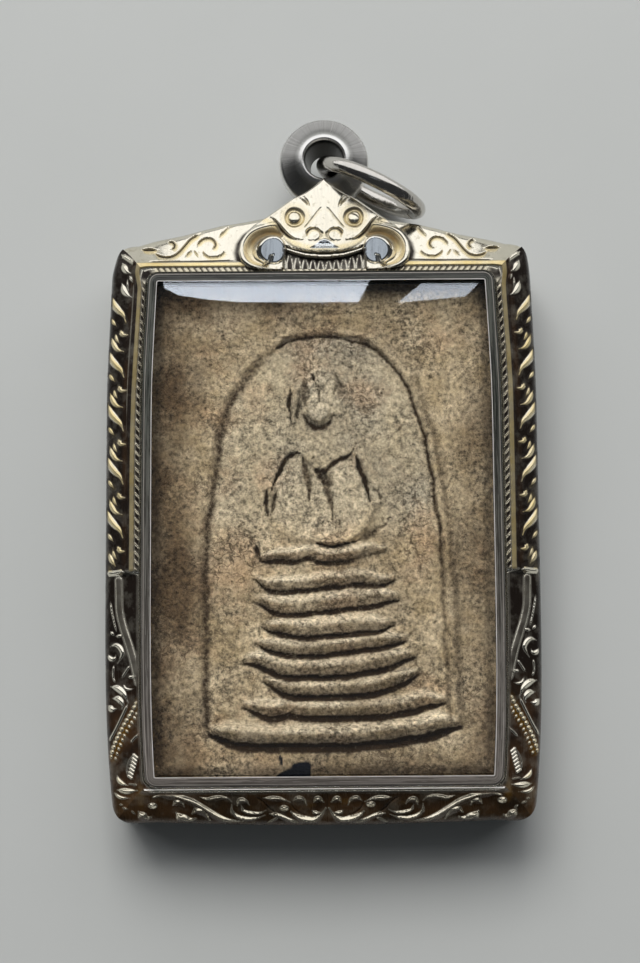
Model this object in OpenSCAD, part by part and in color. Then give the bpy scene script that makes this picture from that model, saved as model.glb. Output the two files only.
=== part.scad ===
/* [Case] */
// Width of the case across its two sides
case_w = 31.2; // [29:0.1:34]
// Height of the case from its lower edge to its upper edge, without crest and bail
case_h = 42.2; // [40:0.1:46]
// Radius of the case's upright outer corners
case_r = 2.2; // [1.4:0.1:2.6]
// Height of the outer wall, from the back edge to the foot of the bezel
wall_h = 5.3; // [4.6:0.1:6]
// Width of the sloped bezel, measured level
slope_w = 1.75; // [1.6:0.05:2]
// Width of the level rim inside the slope
rim_w = 0.75; // [0.72:0.02:1]
// Thickness of the lip that holds the cover at the front
front_lip = 0.65; // [0.5:0.05:0.9]
// Width of that lip behind the window's edge
lip_reach = 0.45; // [0.35:0.05:0.6]
// Thickness of the lip turned in at the back
back_lip = 0.5; // [0.4:0.05:0.7]
// Reach of the lip at the back
back_reach = 1.35; // [1:0.05:1.8]

/* [Ornament] */
// Height of the cast scrolls above the bezel
relief = 0.16; // [0.1:0.02:0.24]
// Width of a scroll's stroke
stroke_w = 0.3; // [0.2:0.02:0.4]
// Number of scroll repeats down each side
scrolls = 5; // [4:1:6]
// Length of one scroll repeat
scroll_pitch = 3.75; // [3:0.05:4.2]
// Width of the gilt line and of the rope line on the rim
line_w = 0.32; // [0.2:0.02:0.32]
// Height of those two lines
line_h = 0.22; // [0.15:0.01:0.3]
// Height of the step on each side, below the case's middle
step_drop = 3.2; // [2.6:0.1:4]

/* [Crest] */
// Height of the crest's tip above the case's upper edge
crest_h = 4.7; // [4.2:0.1:5.2]
// Half the width of the crest at its foot
crest_half = 4.6; // [4.3:0.1:4.9]
// Radius of each volute
volute_r = 1.75; // [1.5:0.05:1.9]
// Distance of each volute's middle from the centre line
volute_x = 4.6; // [4.3:0.05:4.9]

/* [Bail and ring] */
// Outer radius of the bail
bail_r = 3.3; // [3.1:0.05:3.5]
// Radius of the hole in the bail
bail_hole_r = 1.4; // [1.35:0.05:1.5]
// Thickness of the bail at its hole
bail_t = 3.3; // [3:0.1:3.5]
// Height of the bail's middle above the case's upper edge
bail_rise = 6.15; // [6:0.05:6.4]
// Sideways place of the bail's middle
bail_x = 0.3; // [0:0.05:0.4]
// Radius of the jump ring to the middle of its wire
ring_r = 3.85; // [3.75:0.05:4]
// Radius of the jump ring's wire
ring_wire_r = 0.575; // [0.5:0.01:0.6]
// Turn of the jump ring to the right of straight up
ring_turn = 26; // [22:1:30]
// Lean of the jump ring from upright
ring_lean = 5; // [0:1:6]

/* [Covers] */
// Height of the front cover above the rim
cover_raise = 0.85; // [0.6:0.05:1.1]
// Thickness of the front cover's window
cover_t = 0.95; // [0.7:0.05:1.1]
// Thickness of the front cover's raised side walls
cover_wall = 0.65; // [0.5:0.05:0.8]
// Thickness of the back cover
back_t = 0.9; // [0.7:0.05:1]

/* [Amulet] */
// Room between the tablet's edge and the front cover's inner walls
tablet_room = 0.1; // [0.05:0.05:0.8]
// Thickness of the tablet without its relief
tablet_t = 4.4; // [3.8:0.1:4.6]
// Height of the cast figure's highest part above the tablet
figure_h = 0.62; // [0.4:0.02:0.75]
// Radius of the arch over the figure
arch_r = 7.1; // [6.6:0.1:7.3]

/* [Hidden] */
$fn = 64;
big = 120;
fit = 0.05;
overall = case_h + bail_rise + bail_r;
case_y = (case_h - overall) / 2;
rim_z = wall_h + slope_w;
inset = slope_w + rim_w;
window_w = case_w - 2 * inset;
window_h = case_h - 2 * inset;
window_r = 1.1;
pocket_w = window_w + 2 * lip_reach;
pocket_h = window_h + 2 * lip_reach;
pocket_r = 0.9;
pocket_top = rim_z - front_lip;
cover_top = rim_z + cover_raise;
cavity_w = window_w - 2 * cover_wall - 2 * fit;
cavity_h = window_h - 2 * cover_wall - 2 * fit;
tablet_w = cavity_w - 2 * tablet_room;
tablet_h = cavity_h - 2 * tablet_room;
top_y = case_h / 2;
crest_back = 2.6;
crest_slant = 11;
shoulder_rise = 0.36 * crest_h;
back_ease = 0.4;
shoulder_angle = 29;
cover_ease = 0.35;
bail_z = 4.2;
back_z = back_lip + fit / 2;
tablet_z = back_z + back_t + fit;
face_z = tablet_z + tablet_t;

module rounded(w, h, r) {
    square([w - 2 * r, h], center = true);
    square([w, h - 2 * r], center = true);
    for (x = [-1, 1], y = [-1, 1])
        translate([x * (w / 2 - r), y * (h / 2 - r)]) circle(r);
}

// All that lies under a plane that rises inwards from a level line on the side that turn names
module under(turn, out, z, angle, lift = 0) {
    rotate([0, 0, turn]) translate([out, 0, z]) rotate([0, angle, 0])
        translate([-big / 2, -big / 2, lift - big]) cube(big);
}

// All that lies under the four slopes of the bezel and its level rim
module under_bezel(lift = 0) {
    intersection() {
        translate([-big / 2, -big / 2, -big + rim_z + lift]) cube(big);
        four_slopes(case_w, case_h, wall_h, lift);
    }
}

// All that lies under four slopes that rise inwards at 45 degrees from a w by h rectangle
module four_slopes(w, h, z, lift = 0) {
    intersection() {
        under(0, w / 2, z, 45, lift);
        under(90, h / 2, z, 45, lift);
        under(180, w / 2, z, 45, lift);
        under(270, h / 2, z, 45, lift);
    }
}

module mirrored() {
    children();
    mirror([1, 0, 0]) children();
}

// A stroke of constant width along an arc from a to b, which bulges left of a to b
module stroke(a, b, bulge, w = stroke_w) {
    chord = norm(b - a);
    side = sign(bulge);
    r = (chord * chord / 4 + bulge * bulge) / (2 * abs(bulge));
    along = (b - a) / chord;
    left = [-along[1], along[0]] * side;
    mid = (a + b) / 2 + left * (abs(bulge) - r);
    reach = 3;
    intersection() {
        translate(mid) difference() {
            circle(r + w / 2, $fn = 96);
            circle(r - w / 2, $fn = 96);
        }
        polygon([mid, mid + (a - mid) * reach, mid + left * r * reach * 2, mid + (b - mid) * reach]);
    }
}

// An open ring, from one angle round to another
module curl(centre, r, from, to, w = stroke_w) {
    translate(centre) ring_sector(r, from, to, w);
}

module ring_sector(r, from, to, w) {
    steps = 8;
    intersection() {
        difference() {
            circle(r + w / 2);
            circle(r - w / 2);
        }
        polygon(concat([[0, 0]], [for (i = [0 : steps])
            let (t = from + (to - from) * i / steps) 4 * r * [cos(t), sin(t)]]));
    }
}

// One repeat of the side scroll, with its own origin on the case's outer edge
module side_scroll() {
    stroke([-0.15, 0], [-1.5, -1.45], -0.16);
    stroke([-0.5, -2.35], [-1.35, -3.45], -0.2);
    stroke([-1.05, -1.85], [-1.65, -2.3], -0.12, stroke_w * 0.8);
}

module side_scrolls() {
    first = top_y - 3.1;
    for (i = [0 : scrolls - 1])
        translate([case_w / 2, first - i * scroll_pitch]) side_scroll();
}

// The plain spear, the beaded ribbon and the ribbed leaf low on each side
module side_foot() {
    inner = case_w / 2 - inset;
    step_y = -step_drop;
    foot = -top_y;
    polygon([[inner + 0.1, step_y - 0.5], [inner + 1.3, step_y - 0.5],
             [inner + 1.2, step_y - 3.4], [inner + 0.2, step_y - 7.6]]);
    translate([inner, step_y - 0.3]) square([inset - 0.2, 0.3]);
    stroke([inner + 0.15, foot + 8.6], [case_w / 2 - 0.2, foot + 4.9], 0.1, 0.6);
    leaf_ribs = 7;
    for (i = [0 : leaf_ribs - 1])
        translate([inner + 0.25 + 0.06 * i, foot + 5.4 - 0.34 * i]) rotate(-35) square([0.75, 0.16]);
    stroke([inner + 0.5, foot + 2.3], [case_w / 2 - 0.3, foot + 3], -0.35);
    stroke([inner + 0.6, foot + 1.5], [case_w / 2 - 0.4, foot + 2], -0.3);
}

module top_scrolls() {
    at = top_y - 0.8;
    stroke([-13, at], [-10.5, at - 0.05], -0.45);
    stroke([-10.3, at - 0.05], [-8.9, at + 1.2], 0.12);
    stroke([-9.95, at - 0.6], [-9.4, at - 0.05], 0.05, stroke_w * 0.7);
    stroke([-9.4, at - 0.05], [-8.95, at - 0.6], 0.05, stroke_w * 0.7);
    curl([-8.1, at + 0.15], 0.6, 20, 330);
    curl([-11.1, at + 0.35], 0.34, -60, 200, stroke_w * 0.8);
    stroke([-7.5, at + 1.8], [-6.7, at + 0.3], -0.2);
}

module bottom_scrolls() {
    at = -top_y;
    stroke([-12.5, at + 2.1], [-9.7, at + 1.65], 0.25);
    stroke([-9.6, at + 1.6], [-4.8, at + 0.4], -0.45);
    stroke([-9.1, at + 2.15], [-6.95, at + 1.6], 0.2);
    stroke([-6.9, at + 1.5], [-4.7, at + 0.75], -0.3);
    stroke([-4.7, at + 2.1], [-3, at + 1.9], 0.1);
    stroke([-3.6, at + 0.8], [-1.6, at + 0.25], -0.1);
    stroke([-2.6, at + 0.95], [-1.1, at + 0.5], -0.2);
    curl([-0.75, at + 1.5], 0.4, -150, 120);
    curl([-6.1, at + 1.45], 0.35, 40, 280, stroke_w * 0.8);
    stroke([-10.9, at + 0.6], [-9.6, at + 0.55], -0.2);
    stroke([-13.3, at + 0.9], [-12.7, at + 0.55], -0.08);
}

module rim_lines() {
    gilt = slope_w + 0.04;
    rope = slope_w + rim_w - line_w - 0.03;
    intersection() {
        for (edge = [gilt, rope])
            difference() {
                rounded(case_w - 2 * edge, case_h - 2 * edge, 0.5);
                rounded(case_w - 2 * (edge + line_w), case_h - 2 * (edge + line_w), 0.4);
            }
        translate([-big / 2, -step_drop]) square(big);
    }
}

// Share of the crest's half width, share of its height
CREST_EDGE = [[1, 0.36], [0.76, 0.51], [0.5, 0.72], [0.24, 0.86], [0, 1]];

module crest_outline() {
    foot = top_y - slope_w - 0.6;
    mirrored() polygon(concat([[-0.1, foot], [crest_half, foot]],
        [for (p = CREST_EDGE) [p[0] * crest_half, top_y + p[1] * crest_h]],
        [[-0.1, top_y + crest_h - 0.2]]));
}

// The crest's own face falls gently towards its tip
module under_crest(lift = 0) {
    under(90, top_y - slope_w, rim_z + 0.15, crest_slant, lift);
}

module crest_plate() {
    intersection() {
        translate([0, 0, crest_back]) linear_extrude(rim_z) crest_outline();
        under_crest();
    }
}

// The band between crest and corner, whose outer edge leaves the case's edge and rises to the crest
module shoulder() {
    start = [case_w / 2 - case_r - 0.4, top_y - 0.15];
    finish = [crest_half - 0.2, top_y + shoulder_rise];
    foot = top_y - slope_w - 0.1;
    turn = atan((finish[1] - start[1]) / (start[0] - finish[0]));
    intersection() {
        translate([0, 0, crest_back]) linear_extrude(rim_z - 0.02 - crest_back)
            polygon([[finish[0], foot], [start[0], foot], start, finish]);
        translate([start[0], start[1], 0]) under(90 - turn, 0, wall_h - 0.03, shoulder_angle);
    }
}

module crest_lines() {
    swag_r = 4.6;
    translate([0, top_y + 4]) for (r = [swag_r, swag_r - 0.6])
        ring_sector(r, 212, 328, 0.28);
    mirrored() {
        stroke([0, top_y + 2.8], [-1.75, top_y + 1.05], 0.02, 0.24);
        curl([-0.72, top_y + 0.5], 0.4, -30, 260, 0.22);
        curl([-2.13, top_y + 2.05], 0.68, 0, 300, 0.2);
    }
}

module comb() {
    teeth = 9;
    pitch = 0.56;
    for (i = [0 : teeth - 1])
        translate([(i - (teeth - 1) / 2) * pitch - 0.14, top_y - slope_w - 0.55]) square([0.28, 1.1]);
}

module volutes() {
    mirrored() {
        translate([volute_x, top_y - 0.65, crest_back]) {
            cylinder(h = rim_z + 0.1 - crest_back, r = volute_r);
            linear_extrude(rim_z + 0.4 - crest_back) difference() {
                circle(volute_r - 0.02);
                circle(volute_r - 0.4);
            }
            translate([-0.72, 0.1, 0]) cylinder(h = rim_z + 0.55 - crest_back, r = 0.72);
        }
        translate([2.13, top_y + 2.05, rim_z - 0.75]) sphere(0.45);
    }
}

module bail() {
    half = bail_t / 2;
    translate([bail_x, top_y + bail_rise, bail_z]) rotate_extrude()
        polygon([[bail_hole_r, -half + 0.25], [bail_hole_r + 0.12, -half + 0.06], [bail_hole_r + 0.3, -half],
                 [bail_r - 0.25, -0.75], [bail_r, -0.4], [bail_r, 0.4], [bail_r - 0.25, 0.75],
                 [bail_hole_r + 0.3, half], [bail_hole_r + 0.12, half - 0.06], [bail_hole_r, half - 0.25]]);
}

module casing_block() {
    intersection() {
        linear_extrude(rim_z) rounded(case_w, case_h, case_r);
        under_bezel();
        mirror([0, 0, 1]) four_slopes(case_w - 2 * back_ease, case_h - 2 * back_ease, 0);
    }
}

// The window, the pocket behind it that holds both covers, and the opening at the back
module casing_opening() {
    translate([0, 0, pocket_top - 1]) linear_extrude(big) rounded(window_w, window_h, window_r);
    translate([0, 0, back_lip]) linear_extrude(pocket_top - back_lip) rounded(pocket_w, pocket_h, pocket_r);
    translate([0, 0, -1]) linear_extrude(back_lip + 2)
        rounded(pocket_w - 2 * back_reach, pocket_h - 2 * back_reach, pocket_r);
}

module scroll_relief() {
    intersection() {
        translate([0, 0, wall_h - 0.6]) linear_extrude(rim_z) {
            mirrored() {
                side_scrolls();
                side_foot();
                bottom_scrolls();
            }
        }
        linear_extrude(big) rounded(case_w - 0.04, case_h - 0.04, case_r);
        under_bezel(relief);
    }
}

module top_band() {
    mirrored() shoulder();
    intersection() {
        translate([0, 0, wall_h - 1]) linear_extrude(rim_z) mirrored() top_scrolls();
        translate([0, 0, relief]) {
            under_bezel();
            mirrored() shoulder();
        }
    }
}

module crest() {
    crest_plate();
    intersection() {
        translate([0, 0, crest_back]) linear_extrude(big) {
            crest_lines();
            comb();
        }
        under_crest(relief);
    }
}

module casing() {
    color("silver") translate([0, case_y, 0]) {
        difference() {
            union() {
                casing_block();
                scroll_relief();
                translate([0, 0, rim_z - 0.1]) linear_extrude(line_h + 0.1) rim_lines();
                top_band();
                crest();
                volutes();
            }
            casing_opening();
        }
        bail();
    }
}

module front_cover() {
    shelf = pocket_top - fit / 2;
    color("lightcyan", 0.3) translate([0, case_y, 0]) difference() {
        union() {
            translate([0, 0, tablet_z]) linear_extrude(shelf - tablet_z)
                rounded(pocket_w - 2 * fit, pocket_h - 2 * fit, pocket_r);
            intersection() {
                translate([0, 0, shelf - 1]) linear_extrude(cover_top - shelf + 1)
                    rounded(window_w - 2 * fit, window_h - 2 * fit, window_r);
                four_slopes(window_w - 2 * cover_ease, window_h - 2 * cover_ease, cover_top);
            }
        }
        translate([0, 0, tablet_z - 1]) linear_extrude(cover_top - cover_t - tablet_z + 1)
            rounded(cavity_w, cavity_h, 0.6);
    }
}

module back_cover() {
    color("lightcyan", 0.3) translate([0, case_y, back_z]) linear_extrude(back_t)
        rounded(pocket_w - 2 * fit, pocket_h - 2 * fit, pocket_r);
}

// The panel under the arch, drawn smaller by the inset
module arch_panel(in) {
    foot = -14.9;
    spring = 6.7;
    translate([0, spring]) circle(arch_r - in, $fn = 128);
    polygon([[-arch_r + in, spring], [-8 + in, 2.2], [-8.3 + in, -1], [-8.4 + in, foot + in],
             [9.3 - in, foot + in], [8.15 - in, -1], [7.9 - in, 2.2], [arch_r - in, spring]]);
}

// One moulding of the stepped seat: a rounded bar with round ends, half sunk
module tier(left, right, y, r) {
    translate([left + r, y, face_z]) {
        rotate([0, 90, 0]) cylinder(h = right - left - 2 * r, r = r);
        sphere(r);
        translate([right - left - 2 * r, 0, 0]) sphere(r);
    }
}

// left end, right end, height of its middle, radius
TIERS = [[-4.7, 5.2, -1.9, 0.5], [-4.9, 5.3, -3.9, 0.42], [-4.9, 5.8, -5.7, 0.45],
         [-4.2, 4.9, -7.3, 0.42], [-4.8, 5.9, -8.7, 0.46], [-5.5, 6.2, -10.3, 0.5],
         [-4.4, 6.7, -11.7, 0.46], [-5.5, 8.1, -13.1, 0.42], [-7.9, 8.9, -14.7, 0.55]];

module seated_figure() {
    torso_y = 1.8;
    // the trunk, domed, with the shoulders raised and the neck between them
    intersection() {
        translate([0, 0, face_z - 0.3]) linear_extrude(3)
            polygon([[-3.2, -1], [-3.4, 2.3], [-2.9, 4.4], [-1.8, 5.3], [-0.6, 4.2], [0.3, 3.9],
                     [0.9, 4.4], [1.9, 5.3], [2.8, 4], [3.3, 2.2], [3.1, 0], [2.4, -1]]);
        translate([0, torso_y, face_z + figure_h - 12]) sphere(12, $fn = 180);
    }
    translate([0, 0, face_z - 0.2]) linear_extrude(0.2 + figure_h * 0.7) {
        stroke([-2.9, -0.9], [-2, 5.1], 1.1, 0.45);
        stroke([2.1, 5.1], [2.4, -0.8], 1.1, 0.45);
        stroke([-2.1, 7.5], [-1.9, 10], -0.1, 0.35);
        stroke([1.5, 8], [1.35, 9.8], 0.1, 0.35);
    }
    // a plain egg-shaped head under a pointed flame
    translate([-0.35, 8.5, face_z - 0.2]) sphere(0.85);
    translate([-0.35, 8.7, face_z - 0.15]) rotate([-90, 0, 0]) cylinder(h = 3, r1 = 0.6, r2 = 0.15);
}

module amulet() {
    groove = 0.32;
    groove_depth = 0.22;
    color("tan") translate([0, case_y, 0]) {
        difference() {
            translate([0, 0, tablet_z]) linear_extrude(tablet_t) rounded(tablet_w, tablet_h, 1.2);
            translate([0, 0, face_z - groove_depth]) linear_extrude(1) difference() {
                arch_panel(0);
                arch_panel(groove);
            }
        }
        for (t = TIERS) tier(t[0], t[1], t[2], t[3]);
        seated_figure();
    }
}

module jump_ring() {
    out = ring_r;
    height = ring_r * cos(ring_lean) + ring_wire_r + 0.02;
    color("gainsboro") translate([bail_x, case_y + top_y + bail_rise - 0.15, height])
        rotate([0, 0, -ring_turn]) translate([out, 0, 0]) rotate([90 + ring_lean, 0, 0])
            rotate_extrude($fn = 96) translate([ring_r, 0]) circle(ring_wire_r, $fn = 32);
}

casing();
front_cover();
back_cover();
amulet();
jump_ring();
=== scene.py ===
import math

import bpy
import numpy as np
from mathutils import Matrix


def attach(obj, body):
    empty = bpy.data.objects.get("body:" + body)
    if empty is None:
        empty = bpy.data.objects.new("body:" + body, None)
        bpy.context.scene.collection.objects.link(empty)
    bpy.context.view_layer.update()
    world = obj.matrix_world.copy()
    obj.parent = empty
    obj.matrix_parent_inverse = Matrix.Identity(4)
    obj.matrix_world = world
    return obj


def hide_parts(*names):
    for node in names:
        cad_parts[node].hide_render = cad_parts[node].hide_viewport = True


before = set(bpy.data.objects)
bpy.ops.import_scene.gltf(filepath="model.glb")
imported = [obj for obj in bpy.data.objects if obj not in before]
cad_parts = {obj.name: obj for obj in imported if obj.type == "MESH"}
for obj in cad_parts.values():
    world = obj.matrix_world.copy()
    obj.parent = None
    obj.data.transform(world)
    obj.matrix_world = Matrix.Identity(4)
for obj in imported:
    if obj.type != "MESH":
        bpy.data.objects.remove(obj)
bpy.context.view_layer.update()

# Every length below is in millimetres, and MM turns it into metres.
MM = 0.001
HALF_W = 15.6
HALF_H = 20.875
MIDDLE_Y = -4.75
CORNER = 1.4
WINDOW_CORNER = 0.95
LIP_SIDE = 2.64
LIP_END = 2.49
WALL_H = 5.3
SLOPE_H = 1.75
BAIL_AT = (0.3, 22.525, 4.2)
RING_AT = (0.3, 22.375, 4.43)
RING_R = 3.85
WIRE_R = 0.575
BAND_W = 1.7
# The pocket for the two covers, under the front lip and behind the lip turned in at the back.
RABBET = 2.05
LIP_UNDER = 6.4
BACK_LIP = 3.4
BACK_THICK = 0.5
# Half the width, half the height and the corner of the cover's raised box.
RAISED_EDGE = (12.87, 18.37, 0.8)
COVER_LONG = 37.9
TABLET_W = 12.3
TABLET_H = 17.8
TABLET_Y = MIDDLE_Y + 0.025
CLAY_FACE = 5.85
TIER_FOOT = 5.62
CLAY_BACK = 1.475
HEAD_UP = 8.62


def step_between(low, high, value):
    """Rises smoothly from 0 at low to 1 at high."""
    share = np.clip((value - low) / (high - low), 0, 1)
    return share * share * (3 - 2 * share)


def hump(distance, half):
    """A rounded ridge of height 1 that is gone at half its width."""
    return np.cos(np.clip(np.abs(distance) / half, 0, 1) * np.pi / 2) ** 2


def roof(share):
    """A ridge with straight flanks and a slightly rounded top."""
    rise = np.clip(1 - share, 0, 1)
    return rise - np.clip(rise - 0.8, 0, None) ** 2 * 1.5


def waist(y):
    """How far in the sides bow at this height of the case."""
    above = np.clip((y - 5) / 11, 0, None)
    below = np.clip((-y - 8) / 16, 0, None)
    return 1 - 0.023 * above**1.5 - 0.0365 * below**3.09


def draw_in(x, y):
    """Narrows the window a little more than the outline towards the top."""
    share = np.clip((HALF_W - 0.6 - np.abs(x)) / 1.1, 0, 1) * np.clip(np.abs(x) / 9, 0, 1)
    return x - np.sign(x) * 0.22 * step_between(2, 16, y) * share


def smooth_line(points, step=0.04):
    """Close points on a smooth curve through the drawn ones, and their share of the way along."""
    drawn = np.array(points, float)
    ends = np.vstack([2 * drawn[0] - drawn[1], drawn, 2 * drawn[-1] - drawn[-2]])
    made = []
    for a, b, c, d in zip(ends, ends[1:], ends[2:], ends[3:]):
        count = max(2, int(math.dist(b, c) / step))
        t = np.linspace(0, 1, count, endpoint=False)[:, None]
        made.append(0.5 * (2 * b + (c - a) * t + (2 * a - 5 * b + 4 * c - d) * t**2
                           + (3 * b - a - 3 * c + d) * t**3))
    made = np.vstack(made + [drawn[-1:]])
    length = np.concatenate([[0], np.cumsum(np.hypot(*np.diff(made, axis=0).T))])
    return made, length / length[-1]


TAPERS = {
    "even": lambda s: np.clip(np.minimum(s, 1 - s) * 8, 0.35, 1),
    "leaf": lambda s: np.clip(np.sin(np.pi * np.clip(s, 0.02, 0.98) ** 0.8), 0.25, 1),
    "tail": lambda s: np.clip(1 - 0.75 * s, 0.25, 1) * np.clip(s * 10, 0.5, 1),
    "bud": lambda s: 0.35 + 0.65 * step_between(0.3, 0.95, s),
}


def near_line(x, y, points, reach):
    """Which of the surface's points lie near a drawn line, how far off, and where along it."""
    line, share = smooth_line(points)
    low = line.min(0) - reach
    high = line.max(0) + reach
    near = np.nonzero((x > low[0]) & (x < high[0]) & (y > low[1]) & (y < high[1]))[0]
    gap = np.hypot(x[near][:, None] - line[:, 0], y[near][:, None] - line[:, 1])
    best = gap.argmin(1) if len(near) else np.zeros(0, int)
    return near, gap[np.arange(len(near)), best], share[best]


def ridge_along(x, y, points, half):
    """A rounded ridge of height 1 along a drawn line."""
    near, gap, _ = near_line(x, y, points, half)
    height = np.zeros(len(x))
    height[near] = hump(gap, half)
    return height


def most(*parts):
    """The largest of several values at each point."""
    return np.maximum.reduce(np.broadcast_arrays(*parts))


def stroke_relief(x, y, strokes, slope=1.1, tallest=0.2, wider=1.0):
    """The height of rounded strokes, each (points, half width, taper), where they pass."""
    height = np.zeros(len(x))
    for points, half, taper in strokes:
        half = half * wider
        near, gap, share = near_line(x, y, points, half)
        wide = half * TAPERS[taper](share)
        ridge = np.minimum(slope * wide, tallest) * roof(gap / np.maximum(wide, 0.01))
        height[near] = np.maximum(height[near], ridge)
    return height


def start_piece(name, add, **shape):
    """Adds a primitive with nothing else selected, and names it."""
    bpy.ops.object.select_all(action="DESELECT")
    add(**shape)
    piece = bpy.context.object
    piece.name = piece.data.name = name
    return piece


def take_up(piece):
    """Selects one piece alone and makes it the active one."""
    bpy.ops.object.select_all(action="DESELECT")
    piece.select_set(True)
    bpy.context.view_layer.objects.active = piece


def read_points(piece):
    """Every point of a piece, in metres."""
    flat = np.empty(len(piece.data.vertices) * 3, np.float32)
    piece.data.vertices.foreach_get("co", flat)
    return flat.reshape(-1, 3)


def new_sheet(name, columns, rows):
    """A flat grid to shape, with each point's column and row."""
    piece = start_piece(name, bpy.ops.mesh.primitive_grid_add,
                        x_subdivisions=columns - 1, y_subdivisions=rows - 1, size=2)
    flat = read_points(piece)
    column = np.rint((flat[:, 0] + 1) / 2 * (columns - 1)).astype(int)
    row = np.rint((flat[:, 1] + 1) / 2 * (rows - 1)).astype(int)
    return piece, column, row


def place(piece, x, y, z):
    """Moves every point of a piece, in millimetres."""
    piece.data.vertices.foreach_set("co", (np.column_stack([x, y, z]) * MM).ravel())
    piece.data.update()


def places(piece):
    """Every point of a piece, in millimetres."""
    return read_points(piece) / MM


def mark(piece, name, values):
    """Keeps a number for each point, which the material reads."""
    made = piece.data.attributes.new(name, "FLOAT", "POINT")
    made.data.foreach_set("value", np.clip(values, 0, 1).astype(np.float32))


def close_shell(piece, angle=60, merge=0.002):
    """Merges the seams, fills what is open, turns faces outward and smooths the rounded parts."""
    take_up(piece)
    bpy.ops.object.mode_set(mode="EDIT")
    bpy.ops.mesh.select_all(action="SELECT")
    bpy.ops.mesh.remove_doubles(threshold=merge * MM)
    bpy.ops.mesh.select_all(action="DESELECT")
    bpy.ops.mesh.select_mode(type="EDGE")
    bpy.ops.mesh.select_non_manifold()
    if piece.data.total_edge_sel:
        bpy.ops.mesh.fill()
    bpy.ops.mesh.select_all(action="SELECT")
    bpy.ops.mesh.normals_make_consistent(inside=False)
    bpy.ops.object.mode_set(mode="OBJECT")
    bpy.ops.object.shade_smooth_by_angle(angle=math.radians(angle))


def wall_down(piece, depth):
    """Extrudes a sheet's border down to one level, so that the sheet becomes a block."""
    take_up(piece)
    before = len(piece.data.vertices)
    bpy.ops.object.mode_set(mode="EDIT")
    bpy.ops.mesh.select_mode(type="EDGE")
    bpy.ops.mesh.select_all(action="DESELECT")
    bpy.ops.mesh.select_non_manifold()
    bpy.ops.mesh.extrude_region_move(TRANSFORM_OT_translate={"value": (0, 0, -MM)})
    bpy.ops.object.mode_set(mode="OBJECT")
    points = places(piece)
    points[before:, 2] = depth
    place(piece, *points.T)


def finish_piece(piece, cad_node, slot, *materials):
    """Hangs a piece under the root, hides the CAD part that it replaces, and gives it its materials."""
    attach(piece, "root")
    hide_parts(cad_node)
    piece.data.materials.clear()
    for material in materials:
        piece.data.materials.append(material)


class Mixer:
    """Builds one shader tree; a socket takes a number, a colour or another node's output."""

    def __init__(self, tree):
        self.tree = tree

    def feed(self, made, sockets):
        """Links or sets a node's sockets."""
        for name, value in sockets.items():
            socket = made.inputs[name]
            if isinstance(value, bpy.types.NodeSocket):
                self.tree.links.new(value, socket)
            else:
                socket.default_value = value + (1,) if socket.type == "RGBA" else value

    def add(self, kind, sockets=None, **settings):
        """One node with its settings and sockets."""
        made = self.tree.nodes.new("ShaderNode" + kind)
        for name, value in settings.items():
            setattr(made, name, value)
        self.feed(made, sockets or {})
        return made

    def group(self, group, sockets):
        """A shader group's outputs, with this material's own values."""
        return self.add("Group", sockets, node_tree=group).outputs

    def where(self):
        """Each point's place on its piece."""
        return self.add("TexCoord").outputs["Object"]

    def marked(self, name):
        """A number kept on the piece's points."""
        return self.add("Attribute", attribute_name=name).outputs["Fac"]

    def reckon(self, what, first, second=0.0, clamp=False):
        """A math node's output."""
        return self.add("Math", {0: first, 1: second}, operation=what, use_clamp=clamp).outputs[0]

    def times(self, first, second, clamp=False):
        """Two values multiplied."""
        return self.reckon("MULTIPLY", first, second, clamp)

    def plus(self, first, second, clamp=False):
        """Two values added."""
        return self.reckon("ADD", first, second, clamp)

    def less(self, first, second, clamp=False):
        """The first value less the second."""
        return self.reckon("SUBTRACT", first, second, clamp)

    def blend(self, share, first, second, how="MIX"):
        """A colour between two others."""
        return self.add("Mix", {0: share, 6: first, 7: second}, data_type="RGBA", blend_type=how).outputs[2]

    def ramp(self, value, low, high, start=0.0, end=1.0):
        """Stretches the part of a value between low and high."""
        return self.add("MapRange", {"Value": value, "From Min": low, "From Max": high,
                                     "To Min": start, "To Max": end}).outputs["Result"]

    def noise(self, where, scale, detail=4.0, rough=0.6):
        """A noise pattern, its scale in spots for each metre."""
        return self.add("TexNoise", {"Vector": where, "Scale": scale, "Detail": detail,
                                     "Roughness": rough}).outputs["Fac"]


class Finish(Mixer):
    """A material around one Principled shader."""

    def __init__(self, name):
        self.material = bpy.data.materials.new(name)
        self.material.use_nodes = True
        super().__init__(self.material.node_tree)
        self.shader = self.tree.nodes["Principled BSDF"]

    def done(self, sockets, bump=None):
        """Feeds the shader; a bump is its height, strength and distance in metres."""
        if bump:
            bump = self.add("Bump", dict(zip(("Height", "Strength", "Distance"), bump)))
            sockets["Normal"] = bump.outputs[0]
        self.feed(self.shader, sockets)
        return self.material


def new_group(name, inputs, outputs):
    """A shader group whose named sockets are numbers."""
    tree = bpy.data.node_groups.new(name, "ShaderNodeTree")
    for label, value in inputs.items():
        made = tree.interface.new_socket(name=label, in_out="INPUT", socket_type="NodeSocketFloat")
        made.default_value = value
    for label in outputs:
        tree.interface.new_socket(name=label, in_out="OUTPUT", socket_type="NodeSocketFloat")
    return Mixer(tree), tree.nodes.new("NodeGroupInput").outputs, tree.nodes.new("NodeGroupOutput")


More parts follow.
